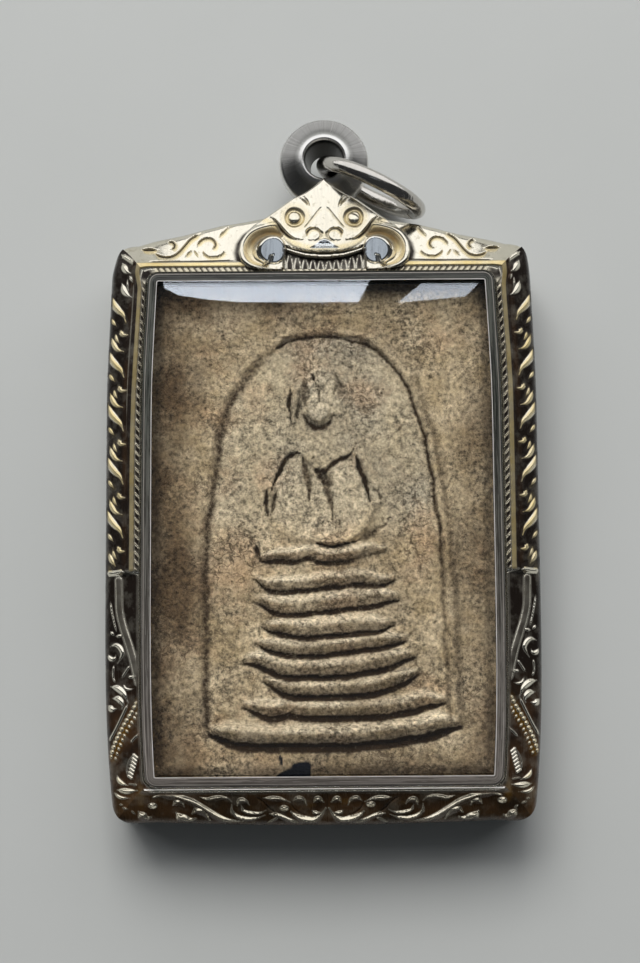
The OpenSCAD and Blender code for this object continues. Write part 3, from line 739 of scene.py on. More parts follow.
def bezel(side, along):
    """One band of the frame, from the window's edge over the slope and down the outer wall."""
    upright = side in ("left", "right")
    half = HALF_H if upright else HALF_W
    share = np.linspace(-1, 1, along)
    corner = CORNER * (1 - math.sqrt(0.5))
    s_out = share * (half - corner)
    past = np.clip(np.abs(s_out) - (half - CORNER), 0, None)
    arc = CORNER - np.sqrt(CORNER**2 - past**2)
    lift = np.zeros(along)
    if side == "top":
        lift = np.interp(np.abs(s_out), *np.array(TOP_RISE).T)
    if side == "foot":
        lift = 0.2 * (1 - (s_out / 10.85) ** 2) * step_between(14.2, 12, np.abs(s_out))
    w_out = arc - lift
    ones = np.ones(along)
    w_rows, s_rows, z_rows, kinds = [], [], [], []

    def row(w, z, kind, s=None):
        """Adds a row of points at a distance in from the case's side, by default cut off at 45 degrees."""
        w_rows.append(w * ones)
        s_rows.append(share * (half - w) if s is None else s)
        z_rows.append(z * ones)
        kinds.append(kind)

    inner = WINDOW_CORNER * (1 - math.sqrt(0.5))
    lip_at, other = (LIP_SIDE, LIP_END) if upright else (LIP_END, LIP_SIDE)
    rim = np.linspace(lip_at - 0.13, BAND_W, 28)
    s_in = share * (half - other - inner)
    past = np.clip(np.abs(s_in) - (half - other - WINDOW_CORNER), 0, None)
    fill = WINDOW_CORNER - np.sqrt(WINDOW_CORNER**2 - past**2)

    def lip_row(w, z, kind):
        """Adds a row that turns towards the rounded corners of the window."""
        part = (w - BAND_W) / (lip_at - BAND_W)
        row(w + fill * part, z, kind, share * (half - BAND_W) * (1 - part) + s_in * part)

    for level in (BACK_THICK, 3.5, LIP_UNDER):
        row(RABBET, level, PLAIN)
    lip_row(lip_at, LIP_UNDER, PLAIN)
    lip_row(lip_at, 6.88, PLAIN)
    for degrees in (15, 35, 55, 75):
        a = math.radians(degrees)
        lip_row(lip_at - CHAMFER_R + CHAMFER_R * math.cos(a), CHAMFER_AT + CHAMFER_R * math.sin(a), PLAIN)
    for w in rim:
        lip_row(w, 0, FACE)
    for f in np.linspace(1, 0, 39)[1:]:
        row(w_out + (BAND_W - w_out) * f, 0, FACE, s_out + (share * (half - BAND_W) - s_out) * f)
    for drop in (-0.1, -0.25):
        row(w_out, drop, BROW, s_out)
    for level in (0.75, 0.5, 0.25, 0.0):
        row(w_out, level, WALL, s_out)
    row(w_out + 0.35, 0.0, PLAIN, s_out * (1 - 0.35 / half))
    for w, level in ((1.9, 0.0), (BACK_LIP, 0.0), (BACK_LIP, BACK_THICK), (RABBET, BACK_THICK)):
        row(w, level, PLAIN)
    w = np.array(w_rows)
    s = np.array(s_rows)
    z = np.array(z_rows)
    kinds = np.array(kinds)
    if upright:
        y = MIDDLE_Y + s
        x = (-1 if side == "left" else 1) * (HALF_W - w)
    else:
        y = MIDDLE_Y + HALF_H - w if side == "top" else MIDDLE_Y - HALF_H + w
        x = s
    x = draw_in(x * waist(y), y)
    band = kinds == FACE
    across = w.copy()
    across[band.nonzero()[0][:len(rim)]] = rim[:, None]
    nip = 0.08 * step_between(4, 12, y) + 0.34 * step_between(13.6, 16.0, y)
    nip *= np.where(x < 0, 1, 0.4) * step_between(11.5, 14.5, np.abs(x))
    nip *= step_between(1.0, 0.05, (across - BAND_W) / (lip_at - BAND_W)) * (kinds != PLAIN)[:, None]
    x = x - np.sign(x) * nip
    lowered = np.ones_like(y) if side == "foot" else step_between(-7.9, -8.25, y) * upright
    reach = BAND_W + (0.78 if upright else 0.42) * lowered
    edge = across + lift
    rise = np.clip(edge / (reach + lift), 0, 1)
    steep = 0.1 if side == "top" else 0.3
    surface = WALL_H + SLOPE_H * (steep * (1 - np.exp(-rise / 0.07)) + (1 - steep) * rise)
    z[band] = surface[band]
    lines = (1 - lowered) * step_between(-8.0, -7.8, y)
    to_corner = (half - 2.2) - np.abs(s)
    slide = (0.17 + 0.1 * (x < 0) * step_between(-2, 8, y)) * upright * step_between(0, 1.5, to_corner)
    shifted = across - slide
    bead = step_between(1.6, 1.72, shifted) * step_between(2.04, 1.92, shifted) * lines
    pitch = 0.45 if side == "top" else 0.6
    slant = np.where(x < 0, -0.7, 0.7) if side == "top" else 1.15
    run = ((s if side == "top" else y) + (across - 2.2) * slant) / pitch % 1
    strands = np.interp(run, (0, 0.4, 0.8, 1), (1, 0, 0, 1))
    rope = step_between(2.04, 2.1, shifted) * step_between(lip_at - 0.02, lip_at - 0.1, across) * lines
    rope = rope * step_between(0.5, 1.3, to_corner)
    lip = np.interp(across, (2.14, 2.2, 2.37), (0, 0.085, 0)) * (side == "foot")
    groove = hump(across - 1.57, 0.1) * (side == "top") * step_between(0.3, 0.8, to_corner)
    tilted = bead * (0.08 + 0.3 * (shifted - 1.83))
    if side == "top":
        worked = rope * (0.4 * (across - 2.05) - 0.08 * strands)
    else:
        worked = rope * (0.02 + 0.12 * strands)
    z[band] += (tilted + worked + lip - 0.12 * groove)[band]
    flat = band.nonzero()[0]
    fx, fy, fw, fe = (value[flat].ravel() for value in (x, y, across, edge))
    relief_of = top_relief if side == "top" else bezel_relief
    on_slope = step_between(0, 0.15, reach[flat].ravel() - fw)
    raised, *painted = relief_of(fx, fy, fe)
    z[flat] += (raised * np.where(side == "top", 1, on_slope)).reshape(len(flat), along)
    dirt_and_shade, gilt, amber = np.zeros((3, *z.shape))
    for whole, stain in zip((dirt_and_shade, gilt, amber), painted):
        whole[flat] = (stain * on_slope).reshape(len(flat), along)
    gilt[flat] = most(gilt[flat], step_between(0.1, 0.5, bead[flat]), 0.3 * rope[flat])
    sunk = 0.25 + 0.75 * strands if side == "top" else 1 - step_between(0.0, 0.25, strands) * (run < 0.5)
    dark_parts = [
        rope * np.clip(sunk, 0, 1),
        bead * (0.6 if upright else 0),
        step_between(1.3, 1.42, shifted) * step_between(1.74, 1.66, shifted) * upright * lines,
        step_between(2.1, 2.2, across) * step_between(1.3, 0.5, to_corner),
        0.8 * hump(shifted - RABBET, 0.06) * lines,
        0.9 * groove,
    ]
    if side != "top":
        # Painted shade along the outer edge of the slope.
        dark_parts.append(step_between(0.3, 0.12, edge))
        channel = step_between(reach - 0.2, reach - 0.1, across) * step_between(reach + 0.08, reach, across)
        dark_parts.append(0.9 * lowered * channel)
    dirt_and_shade[flat] = most(dirt_and_shade[flat], *(part[flat] for part in dark_parts))
    # Painted shade: the brow and the outer wall are painted dark, the wall a little less towards the floor.
    dirt_and_shade[kinds == BROW] = 1.0
    warm = 0.9 * step_between(-14.0, -19.0, y) + 0.5 * hump(across - 1.5, 0.35) * step_between(-8, -7, y)
    shoulder = z[band][-1]
    z[kinds == BROW] += shoulder
    for i in (kinds == WALL).nonzero()[0]:
        z[i] = 0.4 + (shoulder - 0.65) * z_rows[i]
        dirt_and_shade[i] = 0.6 + 0.45 * z_rows[i]
    piece, *at = new_sheet("bezel_" + side, len(kinds), along)
    at = tuple(at)
    place(piece, x[at], y[at], z[at])
    stains = {"dirt_and_shade": dirt_and_shade, "gilt": gilt, "warm": warm, "bare": np.zeros_like(z), "amber": amber}
    for label, stain in stains.items():
        mark(piece, label, stain[at])
    close_shell(piece, angle=50, merge=0.004)
    finish_piece(piece, "casing", "silver_case", silver_gilt)
    if side == "foot":
        # The foot's inner lip gets a thin line painted as a highlight.
        piece.data.materials.append(make_painted_highlight_line("painted_lip_highlight", (0.98, 0.96, 0.92), (0.88, 0.85, 0.79)))
        for face in piece.data.polygons:
            at = face.center / MM
            if at.z > 6.9 and abs(at.x) < 12.6 and abs(at.y - MIDDLE_Y + HALF_H - 2.37) < 0.045:
                face.material_index = 1


for band_side, points_along in (("left", 801), ("right", 801), ("top", 601), ("foot", 601)):
    bezel(band_side, points_along)

CREST_CUTS = (
    (((-1.4, 16.9), (-0.7, 17.85), (0.02, 18.8)), 0.05, "even"),
    (((-1.61, 19.5), (-1.19, 19.1), (-0.98, 18.65)), 0.08, "leaf"),
    (((-1.36, 19.65), (-1.05, 19.19), (-0.8, 18.55)), 0.07, "leaf"),
    (((-1.09, 16.46), (-1.07, 16.8), (-0.77, 17.03), (-0.35, 16.97), (-0.1, 16.66), (-0.18, 16.28),
      (-0.49, 16.09), (-1, 16.11)), 0.15, "tail"),
)
SWAG_CUT = ((-3.93, 17.93), (-3.56, 17.61), (-3.09, 17), (-2.49, 16.46), (-1.93, 16.21), (-1.37, 16.13))
SWAG_RIDGE = ((-4.26, 17.65), (-3.7, 17.36), (-3.14, 16.75), (-2.49, 16.21), (-1.84, 15.81),
              (-1.19, 15.56), (-0.44, 15.47), (0, 15.5))
SWAG_FOOT = ((-3.0, 15.95), (-2.77, 15.76), (-2.12, 15.44), (-1.19, 15.25), (0, 15.16))
COMB_EDGE = ((-2.75, 15.5), (-2.49, 15.36), (-1.19, 14.96), (0, 14.85))
VOLUTE = ((-3.5, 17.35), (-4.55, 17.1), (-5.2, 16.7), (-5.62, 16.06), (-5.75, 15.3), (-5.6, 14.65),
          (-5.1, 14.15), (-4.5, 14.0))
CHANNEL = ((-3.23, 16.66), (-4.07, 16.75), (-4.81, 16.35), (-5.18, 15.56), (-4.99, 14.77), (-4.34, 14.27))
CREST_FOOT = 13.88
CREST_TALL = 7.17
CREST_MIDDLE = 0.28
BOWL_Y = 17.9
BOSS_Y = 15.32
BOSS_TILT = 0.384
BOSS_CUT = ((-3.75, 15.0), (-3.88, 14.87), (-4.01, 14.47), (-4.52, 14.12))


def crest():
    """The pointed crest with its swag, comb, two bowls and two volutes, soldered on the top band."""
    columns, rows = 249, 151
    piece, column, row = new_sheet("crest", columns, rows)
    y = CREST_FOOT + CREST_TALL * (row / (rows - 1)) ** 0.92
    half = np.interp(y, *np.array(CREST_SIDE).T) + CREST_MIDDLE * step_between(21, 19.5, y)
    x = CREST_MIDDLE + (2 * column / (columns - 1) - 1) * half
    base = 7.2 - 0.194 * (y - 14.5)
    inner = half - np.abs(x - CREST_MIDDLE)
    side = -np.interp(np.abs(x - CREST_MIDDLE), (0, 0.3, 1.22, 2.23, 3.63, 6.03, 6.5),
                      (0, 0.12, 1.06, 2.0, 3.69, 5.75, 6.22))
    drawn = np.zeros(len(x))
    cut = stroke_relief(side, y, CREST_CUTS, slope=1.8, tallest=0.25)
    swag_cut = stroke_relief(side, y, ((SWAG_CUT, 0.21, "leaf"),), slope=2.0, tallest=0.3)
    ridge = ridge_along(side, y, SWAG_RIDGE, 0.46)
    foot_y = np.interp(side, *np.array(SWAG_FOOT).T)
    edge_y = np.interp(side, *np.array(COMB_EDGE).T)
    between = step_between(-3.0, -2.85, side)
    shadow = step_between(foot_y + 0.05, foot_y - 0.07, y) * between
    shadow *= step_between(edge_y + 0.1, edge_y + 0.2, y)
    comb = between * step_between(edge_y - 0.02, edge_y - 0.12, y)
    beside = np.abs(((x - CREST_MIDDLE) / 0.56) % 1 - 0.5) * 2
    tip = np.clip((edge_y - 0.2 - y) / 0.8, 0, 1)
    teeth = hump(beside - 0.8 * np.sqrt(tip), 0.3) * step_between(0.0, 0.1, tip)
    bowl_at = np.hypot(side + 2.0, y - BOWL_Y)
    bowl = step_between(0.85, 0.6, bowl_at)
    bead = np.sqrt(np.clip(1 - (bowl_at / 0.5) ** 2, 0, 1))
    near, gap, share = near_line(side, y, VOLUTE, 0.36)
    ring = np.zeros(len(x))
    ring[near] = hump(gap, 0.36) * (0.16 + 0.1 * share)
    channel = ridge_along(side, y, CHANNEL, 0.5)
    boss_at = np.hypot(side + 3.69, y - BOSS_Y)
    boss = step_between(1.1, 1.0, boss_at)
    boss_cut = stroke_relief(side, y, ((BOSS_CUT, 0.12, "even"),), slope=2.2, tallest=0.26)
    notch = step_between(16.3, 16.1, y + 0.85 * np.abs(side)) * step_between(15.42, 15.5, y)
    drawn += 0.07 * ridge + ring + 0.24 * bead * (bowl_at < 0.5)
    drawn -= cut + swag_cut + 0.2 * bowl + 0.34 * channel * (1 - boss)
    drawn -= 0.6 * shadow + comb * (0.5 - 0.07 * teeth)
    drawn += boss * (0.14 + BOSS_TILT * (y - BOSS_Y) - drawn) - boss_cut + notch * BOSS_TILT * (y - 15.8)
    drawn -= 0.12 * boss * step_between(0.84, 1.06, boss_at)
    fade = step_between(0, 0.12, inner)
    z = base + np.where(y < 14.15, drawn, drawn * fade) - 0.15 * (1 - step_between(0, 0.2, inner))
    place(piece, x, y, z)
    # Amber stain with painted shade in the volute channels, stronger towards their upper part.
    channel_stain_and_shade = channel * (1 - boss) * step_between(14.9, 16.3, y)
    painted_rim_shade = hump(bowl_at - 0.72, 0.14) * step_between(-0.2, 0.5, y - BOWL_Y)
    # The darkening includes painted shade: under the swag, on the bowls' upper rims and in the channels.
    mark(piece, "dirt_and_shade", most(
        np.clip(step_between(0.06, 0.22, cut) + step_between(0.05, 0.22, swag_cut) + shadow, 0, 1),
        comb * (1 - teeth),
        step_between(0.16, 0.05, inner) * step_between(17.5, 16.8, y),
        0.85 * channel_stain_and_shade,
        step_between(0.1, 0.24, boss_cut),
        0.8 * painted_rim_shade,
        0.2 * comb,
    ))
    mark(piece, "bare", np.maximum(boss * step_between(0.92, 0.86, boss_at), notch))
    shade = stroke_relief(side - 0.06, y + 0.12, CREST_CUTS + ((SWAG_CUT, 0.15, "leaf"),), 1.0, 0.3, 2.0)
    mark(piece, "gilt", most(
        0.7 * ridge,
        (0.4 + 0.5 * step_between(14.6, 15.8, y)) * channel * (1 - boss),
        0.7 * bowl * (1 - bead),
        0.6 * step_between(0.0, 0.2, shade),
        0.35 * hump(bowl_at - 0.9, 0.5),
    ))
    mark(piece, "warm", channel_stain_and_shade)
    mark(piece, "amber", channel_stain_and_shade)
    wall_down(piece, 4.3)
    close_shell(piece, angle=50)
    finish_piece(piece, "casing", "silver_case", silver_gilt)


crest()


def bail():
    """The flared tube that the jump ring passes through, turned on its own axis."""
    profile = [(0.98, -1.3), (1.36, 0.9), (1.42, 1.42), (1.5, 1.58), (1.62, 1.65), (1.8, 1.59),
               (1.98, 1.45), (2.2, 1.24), (2.6, 0.98), (3.0, 0.78), (3.12, 0.74), (3.25, 0.6),
               (3.299, 0.4), (3.299, 0.0), (3.299, -0.4), (3.25, -0.6), (3.12, -0.74), (3.0, -0.78),
               (2.6, -0.98), (2.2, -1.22), (1.85, -1.5), (1.75, -1.62), (1.6, -1.65), (1.46, -1.52)]
    piece = start_piece("bail", bpy.ops.mesh.primitive_circle_add, vertices=len(profile), radius=MM)
    cx, cy, cz = BAIL_AT
    r, z = np.array(profile).T
    place(piece, cx + r, np.full(len(r), cy), cz + z)
    bpy.ops.object.mode_set(mode="EDIT")
    bpy.ops.mesh.select_all(action="SELECT")
    bpy.ops.mesh.spin(steps=120, angle=math.tau, center=(cx * MM, cy * MM, 0), axis=(0, 0, 1))
    bpy.ops.object.mode_set(mode="OBJECT")
    close_shell(piece, angle=35)
    points = places(piece)
    radius = np.hypot(points[:, 0] - cx, points[:, 1] - cy)
    dull = step_between(1.9, 2.05, radius) * step_between(3.22, 3.08, radius)
    mark(piece, "dirt_and_shade", dull)
    # Painted shade: the inside of the hole is painted almost black.
    mark(piece, "deep", radius < 1.43)
    finish_piece(piece, "casing", "silver_case", make_turned_silver())


bail()


def jump_ring():
    """The loose wire ring with its closed seam, leaning against the bail."""
    piece = start_piece("jump_ring_wire", bpy.ops.mesh.primitive_torus_add, major_segments=180,
                        minor_segments=32, major_radius=RING_R * MM, minor_radius=WIRE_R * MM)
    points = places(piece)
    turn = np.degrees(np.arctan2(points[:, 1], points[:, 0]))
    angle = np.radians(turn)
    axis = np.column_stack([np.cos(angle), np.sin(angle), np.zeros(len(turn))]) * RING_R
    seam = np.abs(turn + 20) < 1.2
    points[seam] = axis[seam] + (points[seam] - axis[seam]) * 0.88
    place(piece, *points.T)
    stand = (Matrix.Translation([c * MM for c in RING_AT])
             @ Matrix.Rotation(math.radians(-26), 4, "Z") @ Matrix.Translation((RING_R * MM, 0, 0))
             @ Matrix.Rotation(math.radians(95), 4, "X"))
    piece.data.transform(stand)
    close_shell(piece, angle=70)
    finish_piece(piece, "jump_ring", "ring_wire", make_ring_silver())


jump_ring()


def bow_in(piece):
    """Follows the case's bowed sides."""
    points = places(piece)
    points[:, 0] = draw_in(points[:, 0] * waist(points[:, 1]), points[:, 1])
    place(piece, *points.T)


def pick_edges(piece, wanted):
    """Selects the edges that a test of their two ends picks."""
    bpy.ops.mesh.select_mode(type="EDGE")
    bpy.ops.mesh.select_all(action="DESELECT")
    bpy.ops.object.mode_set(mode="OBJECT")
    corners = piece.data.vertices
    for edge in piece.data.edges:
        edge.select = bool(wanted(*(corners[i].co / MM for i in edge.vertices)))
    bpy.ops.object.mode_set(mode="EDIT")


def pick_faces(piece, wanted):
    """Selects the faces that a test of centre and direction picks."""
    bpy.ops.mesh.select_mode(type="FACE")
    bpy.ops.mesh.select_all(action="DESELECT")
    bpy.ops.object.mode_set(mode="OBJECT")
    for face in piece.data.polygons:
        face.select = bool(wanted(face.center / MM, face.normal))
    bpy.ops.object.mode_set(mode="EDIT")


def raised_depth(x, y):
    """How far a point lies inside the rounded outline of the cover's raised box."""
    half_x, half_y, corner = RAISED_EDGE
    over_x = np.abs(x) - (half_x - corner)
    over_y = np.abs(y - MIDDLE_Y) - (half_y - corner)
    outside = np.hypot(np.clip(over_x, 0, None), np.clip(over_y, 0, None))
    return corner - outside - np.minimum(np.maximum(over_x, over_y), 0)


def start_plate(name, wide, thick, level):
    """A block as long as the covers, with its middle at a level."""
    piece = start_piece(name, bpy.ops.mesh.primitive_cube_add, size=1,
                        location=(0, MIDDLE_Y * MM, level * MM))
    piece.scale = (wide * MM, COVER_LONG * MM, thick * MM)
    bpy.ops.object.transform_apply(location=True, rotation=True, scale=True)
    return piece


def cut_across(end, count):
    """Cuts the piece in hand across at even steps, so that it can follow the bowed sides."""
    for share in np.linspace(-end, end, count):
        bpy.ops.mesh.select_all(action="SELECT")
        bpy.ops.mesh.bisect(plane_co=(0, (MIDDLE_Y + share * COVER_LONG) * MM, 0), plane_no=(0, 1, 0))
    bpy.ops.object.mode_set(mode="OBJECT")


def front_window():
    """The raised clear cover: a shallow box with a flange under the frame's lip."""
    piece = start_plate("front_window", 26.9, 4.875, 3.9375)
    bpy.ops.object.mode_set(mode="EDIT")
    pick_edges(piece, lambda a, b: abs(a.z - b.z) > 1)
    bpy.ops.mesh.bevel(offset=1.38 * MM, segments=8, affect="EDGES")
    pick_faces(piece, lambda at, facing: facing.z > 0.9)
    bpy.ops.mesh.inset(thickness=0.58 * MM)
    bpy.ops.mesh.extrude_region_move(TRANSFORM_OT_translate={"value": (0, 0, 1.525 * MM)})
    pick_edges(piece, lambda a, b: a.z > 7.8 and b.z > 7.8)
    bpy.ops.mesh.bevel(offset=0.22 * MM, segments=4, affect="EDGES")
    pick_faces(piece, lambda at, facing: facing.z > 0.99 and at.z > 7.8)
    for thickness in (0.08, 0.08, 0.08, 0.08, 0.08, 0.055, 0.06, 0.12):
        bpy.ops.mesh.inset(thickness=thickness * MM)
    pick_faces(piece, lambda at, facing: facing.z < -0.9 and at.z < 2)
    bpy.ops.mesh.inset(thickness=1.03 * MM)
    bpy.ops.mesh.extrude_region_move(TRANSFORM_OT_translate={"value": (0, 0, 5.45 * MM)})
    cut_across(0.44, 31)
    points = places(piece)
    depth = raised_depth(points[:, 0], points[:, 1])
    crown = np.clip((0.65 - depth) / 0.65, 0, 1) ** 1.5
    points[:, 2] -= np.where(points[:, 2] > 7.5, 0.1 * crown, 0)
    place(piece, *points.T)
    mark(piece, "inward", depth)
    close_shell(piece, angle=40, merge=0.001)
    finish_piece(piece, "front_cover", "clear_front",
                 make_clear_acrylic("clear_front", (0.97, 0.97, 0.96)), make_frosted_rim(),
                 make_painted_highlight_line("painted_edge_highlight", (0.62, 0.60, 0.58), (0.40, 0.37, 0.35)))
    for face in piece.data.polygons:
        at = face.center / MM
        depth = raised_depth(at.x, at.y)
        if (face.normal.z < 0.3 and at.z < 6.9) or (face.normal.z > 0.3 and depth < 0.66 and at.z > 7.5):
            face.material_index = 1
        # A thin ring of faces at the inner edge of the rim carries a painted highlight line.
        if face.normal.z > 0.9 and 0.66 < depth < 0.72 and at.z > 7.5:
            face.material_index = 2
    bow_in(piece)


front_window()


def back_window():
    """The plain clear plate behind the tablet."""
    piece = start_plate("back_window", 26.7, 0.9, 0.975)
    rounded = piece.modifiers.new("rounded", "BEVEL")
    rounded.width = 0.2 * MM
    rounded.segments = 3
    bpy.ops.object.modifier_apply(modifier="rounded")
    bpy.ops.object.mode_set(mode="EDIT")
    cut_across(0.47, 25)
    bow_in(piece)
    close_shell(piece, angle=40, merge=0.001)
    finish_piece(piece, "back_cover", "clear_back", make_clear_acrylic("clear_back", (0.96, 0.96, 0.95)))


back_window()

ARCH_LEFT = ((-2.84, 13.32), (-4.2, 12.25), (-5.43, 10.84), (-6.47, 9.2), (-7.11, 7.56), (-7.5, 5.27),
             (-7.73, 3.32), (-7.96, 1.7), (-8.3, -0.72), (-8.4, -8.13), (-8.37, -14.2))
ARCH_RIGHT = ((-3.2, 13.05), (-2.03, 13.65), (-0.89, 13.82), (0.41, 13.82), (1.71, 13.68), (3.01, 13.32),
              (3.98, 12.74), (4.79, 12.0), (5.76, 10.84), (6.4, 9.53), (6.87, 7.89), (7.35, 6.58),
              (7.66, 4.95), (7.89, 3.32), (8.12, 1.7), (8.42, -0.72), (8.71, -8.13), (9.01, -13.8))
OUTER_RIDGE = ((8.0, 13.9), (8.68, 11.5), (8.9, 8.22), (9.11, 4.95), (9.26, 3.32), (9.41, -3.0), (9.5, -8.8),
               (9.72, -13.8))
TIERS = (
    ((-4.71, -1.71), (-4.64, -2.15), (-4.27, -2.45), (-3.39, -2.48), (-2.15, -2.52), (-1.41, -2.34),
     (-0.83, -2.3), (-0.39, -2.52), (0.27, -2.63), (1.37, -2.52), (2.47, -2.34), (3.2, -2.12),
     (4.3, -1.9), (4.7, -1.7)),
    ((-4.92, -3.73), (-4.48, -4.13), (-3.75, -4.57), (-2.44, -4.65), (-1.19, -4.57), (0.34, -4.35),
     (1.36, -4.35), (2.24, -4.13), (4.07, -4.32), (5.17, -3.8)),
    ((-4.92, -5.38), (-4.33, -5.67), (-3.45, -6.18), (-1.85, -6.29), (-0.1, -6.11), (1.36, -5.96),
     (2.82, -5.81), (4.28, -5.56), (5.45, -5.3)),
    ((-4.25, -7.2), (-3.74, -7.49), (-2.65, -7.78), (-1.19, -7.93), (0.27, -7.85), (2.09, -7.67),
     (3.91, -7.56), (5.0, -7.06)),
    ((-4.81, -8.33), (-4.07, -8.76), (-3.3, -8.98), (-2.3, -9.22), (-0.21, -9.22), (2.15, -8.91),
     (3.92, -8.73), (5.23, -8.44), (5.99, -8.2)),
    ((-5.69, -9.72), (-4.85, -9.87), (-4.07, -10.22), (-3.3, -10.55), (-2.52, -10.72), (-0.21, -10.76),
     (1.56, -10.67), (3.33, -10.38), (4.75, -10.09), (5.69, -9.67), (6.52, -9.38)),
    ((-4.3, -10.99), (-3.68, -11.45), (-2.91, -11.91), (-2.13, -12.1), (-0.21, -12.14),
     (2.15, -12.08), (3.68, -11.91), (4.86, -11.55), (5.92, -11.14), (6.87, -10.55)),
    ((-5.76, -12.87), (-5.14, -13.14), (-4.52, -13.4), (-3.91, -13.59), (-3.05, -13.55), (-2.52, -13.36),
     (-1.75, -13.55), (-0.21, -13.6), (2.14, -13.6), (4.49, -13.49), (5.91, -13.26), (7.09, -12.96),
     (8.04, -12.78), (8.74, -12.55)),
    ((-8.28, -14.73), (-7.13, -15.19), (-5.97, -15.5), (-4.05, -15.61), (-1.74, -15.61), (1.86, -15.61),
     (3.32, -15.47), (5.66, -15.24), (8.02, -14.77), (9.79, -14.25)),
)
# For each tier: how tall it is, how far it stands out and how dark the line under it is.
TIER_BULK = ((1.1, 0.5, 0.4), (1.2, 0.55, 0.4), (1.5, 0.6, 0.45), (1.5, 0.62, 0.55), (1.25, 0.62, 0.5),
             (1.45, 0.66, 0.7), (1.35, 0.7, 0.8), (1.4, 0.66, 0.8), (1.65, 0.95, 1.35))
TORSO_TOP = ((-4.1, 0.9), (-3.85, 2.0), (-3.62, 2.67), (-2.98, 4.22), (-2.58, 4.87), (-1.93, 5.36),
             (-1.5, 5.4), (-1.1, 4.9), (-0.56, 4.2), (-0.1, 3.85), (0.4, 4.13), (0.97, 4.7),
             (1.78, 5.03), (2.3, 5.5), (2.74, 4.13), (3.3, 2.51), (3.6, 1.0))
TORSO_FOOT = ((-4.1, 0.9), (-3.7, 0.2), (-3.0, -0.4), (-1.5, -0.95), (0.4, -1.2), (1.5, -1.1), (2.1, -0.85),
              (2.8, -0.2), (3.45, 0.6), (3.65, 1.4))
# Each ridge is its points, half its width and its height.
FIGURE_RIDGES = (
    (((-2.0, 9.9), (-2.02, 8.7), (-2.06, 7.6)), 0.34, 0.3),
    (((-3.62, 2.8), (-3.86, 1.7), (-3.76, 0.8)), 0.36, 0.26),
    (((3.62, 1.5), (3.4, 0.57), (2.78, -0.22), (2.06, -0.82), (1.4, -1.1), (0.2, -1.15)), 0.36, 0.3),
    (((-3.3, 0.1), (-2.2, -0.6), (-0.8, -0.95), (0.4, -1.1)), 0.5, 0.16),
    (((2.75, 5.0), (3.3, 3.9), (3.75, 2.9), (4.1, 1.7)), 0.5, 0.2),
    (((-0.1, 12.9), (-0.15, 11.8), (-0.15, 10.4)), 0.8, 0.3),
    (((1.95, 10.3), (2.0, 9.4), (1.85, 8.5)), 0.34, 0.2),
)
# Each cut is its points, half its width, its depth and how dark it is.
FIGURE_CUTS = (
    (((-2.27, 10.02), (-2.34, 8.87), (-2.18, 7.56)), 0.15, 0.9, 1.0),
    (((-1.67, 9.86), (-1.66, 8.54), (-1.94, 7.4)), 0.14, 0.8, 0.6),
    (((-1.3, 10.6), (-1.28, 9.7), (-1.2, 8.9)), 0.42, 0.7, 0.55),
    (((1.2, 10.5), (1.4, 9.9), (1.35, 9.3)), 0.36, 0.6, 0.5),
    (((0.95, 11.2), (1.05, 10.4), (0.85, 9.4)), 0.16, 0.6, 0.4),
    (((-0.65, 11.01), (-0.5, 10.6), (-0.4, 10.27)), 0.12, 0.9, 0.9),
    (((-0.16, 10.19), (-0.16, 8.87)), 0.09, 0.5, 0.6),
    (((-1.21, 8.05), (-0.97, 7.56), (-0.32, 7.23), (0.41, 7.4), (0.76, 7.97)), 0.3, 0.75, 0.9),
    (((-1.5, 5.4), (-1.93, 5.36), (-2.58, 4.87), (-2.98, 4.22), (-3.38, 3.32), (-3.62, 2.67)), 0.2, 1.0, 1.0),
    (((-3.94, 2.83), (-4.07, 1.7), (-3.81, 0.7)), 0.2, 1.0, 1.0),
    (((-3.3, 2.51), (-3.54, 1.7), (-3.69, 0.81)), 0.14, 0.7, 0.8),
    (((-1.37, 5.11), (-1.21, 4.13), (-0.96, 2.83), (-0.96, 1.86)), 0.3, 0.75, 0.7),
    (((-0.56, 4.22), (-0.16, 3.65), (0.24, 2.83)), 0.24, 0.8, 0.8),
    (((-0.56, 4.3), (-0.08, 3.97), (0.4, 4.13), (0.97, 4.7), (1.78, 5.03), (2.18, 5.44), (2.34, 5.84)),
     0.2, 0.9, 1.0),
    (((0.24, 3.97), (0.4, 2.67), (0.6, 1.7), (0.76, 0.57)), 0.24, 0.75, 0.7),
    (((0.1, 3.8), (0.45, 3.2), (0.4, 2.6)), 0.42, 0.7, 0.6),
    (((2.42, 5.19), (2.74, 4.13), (3.06, 3.32), (3.3, 2.51), (3.43, 1.7)), 0.24, 0.95, 1.0),
    (((3.62, 2.83), (4.1, 2.35), (4.26, 1.7)), 0.14, 0.6, 0.6),
    (((-0.64, -1.21), (0.4, -1.33), (1.52, -1.33), (2.49, -1.05)), 0.13, 1.0, 1.0),
    (((2.49, -1.05), (3.61, -0.4), (4.58, 0.16)), 0.3, 0.5, 0.6),
    (((-4.73, -1.37), (-4.57, -2.09)), 0.22, 0.9, 0.9),
)


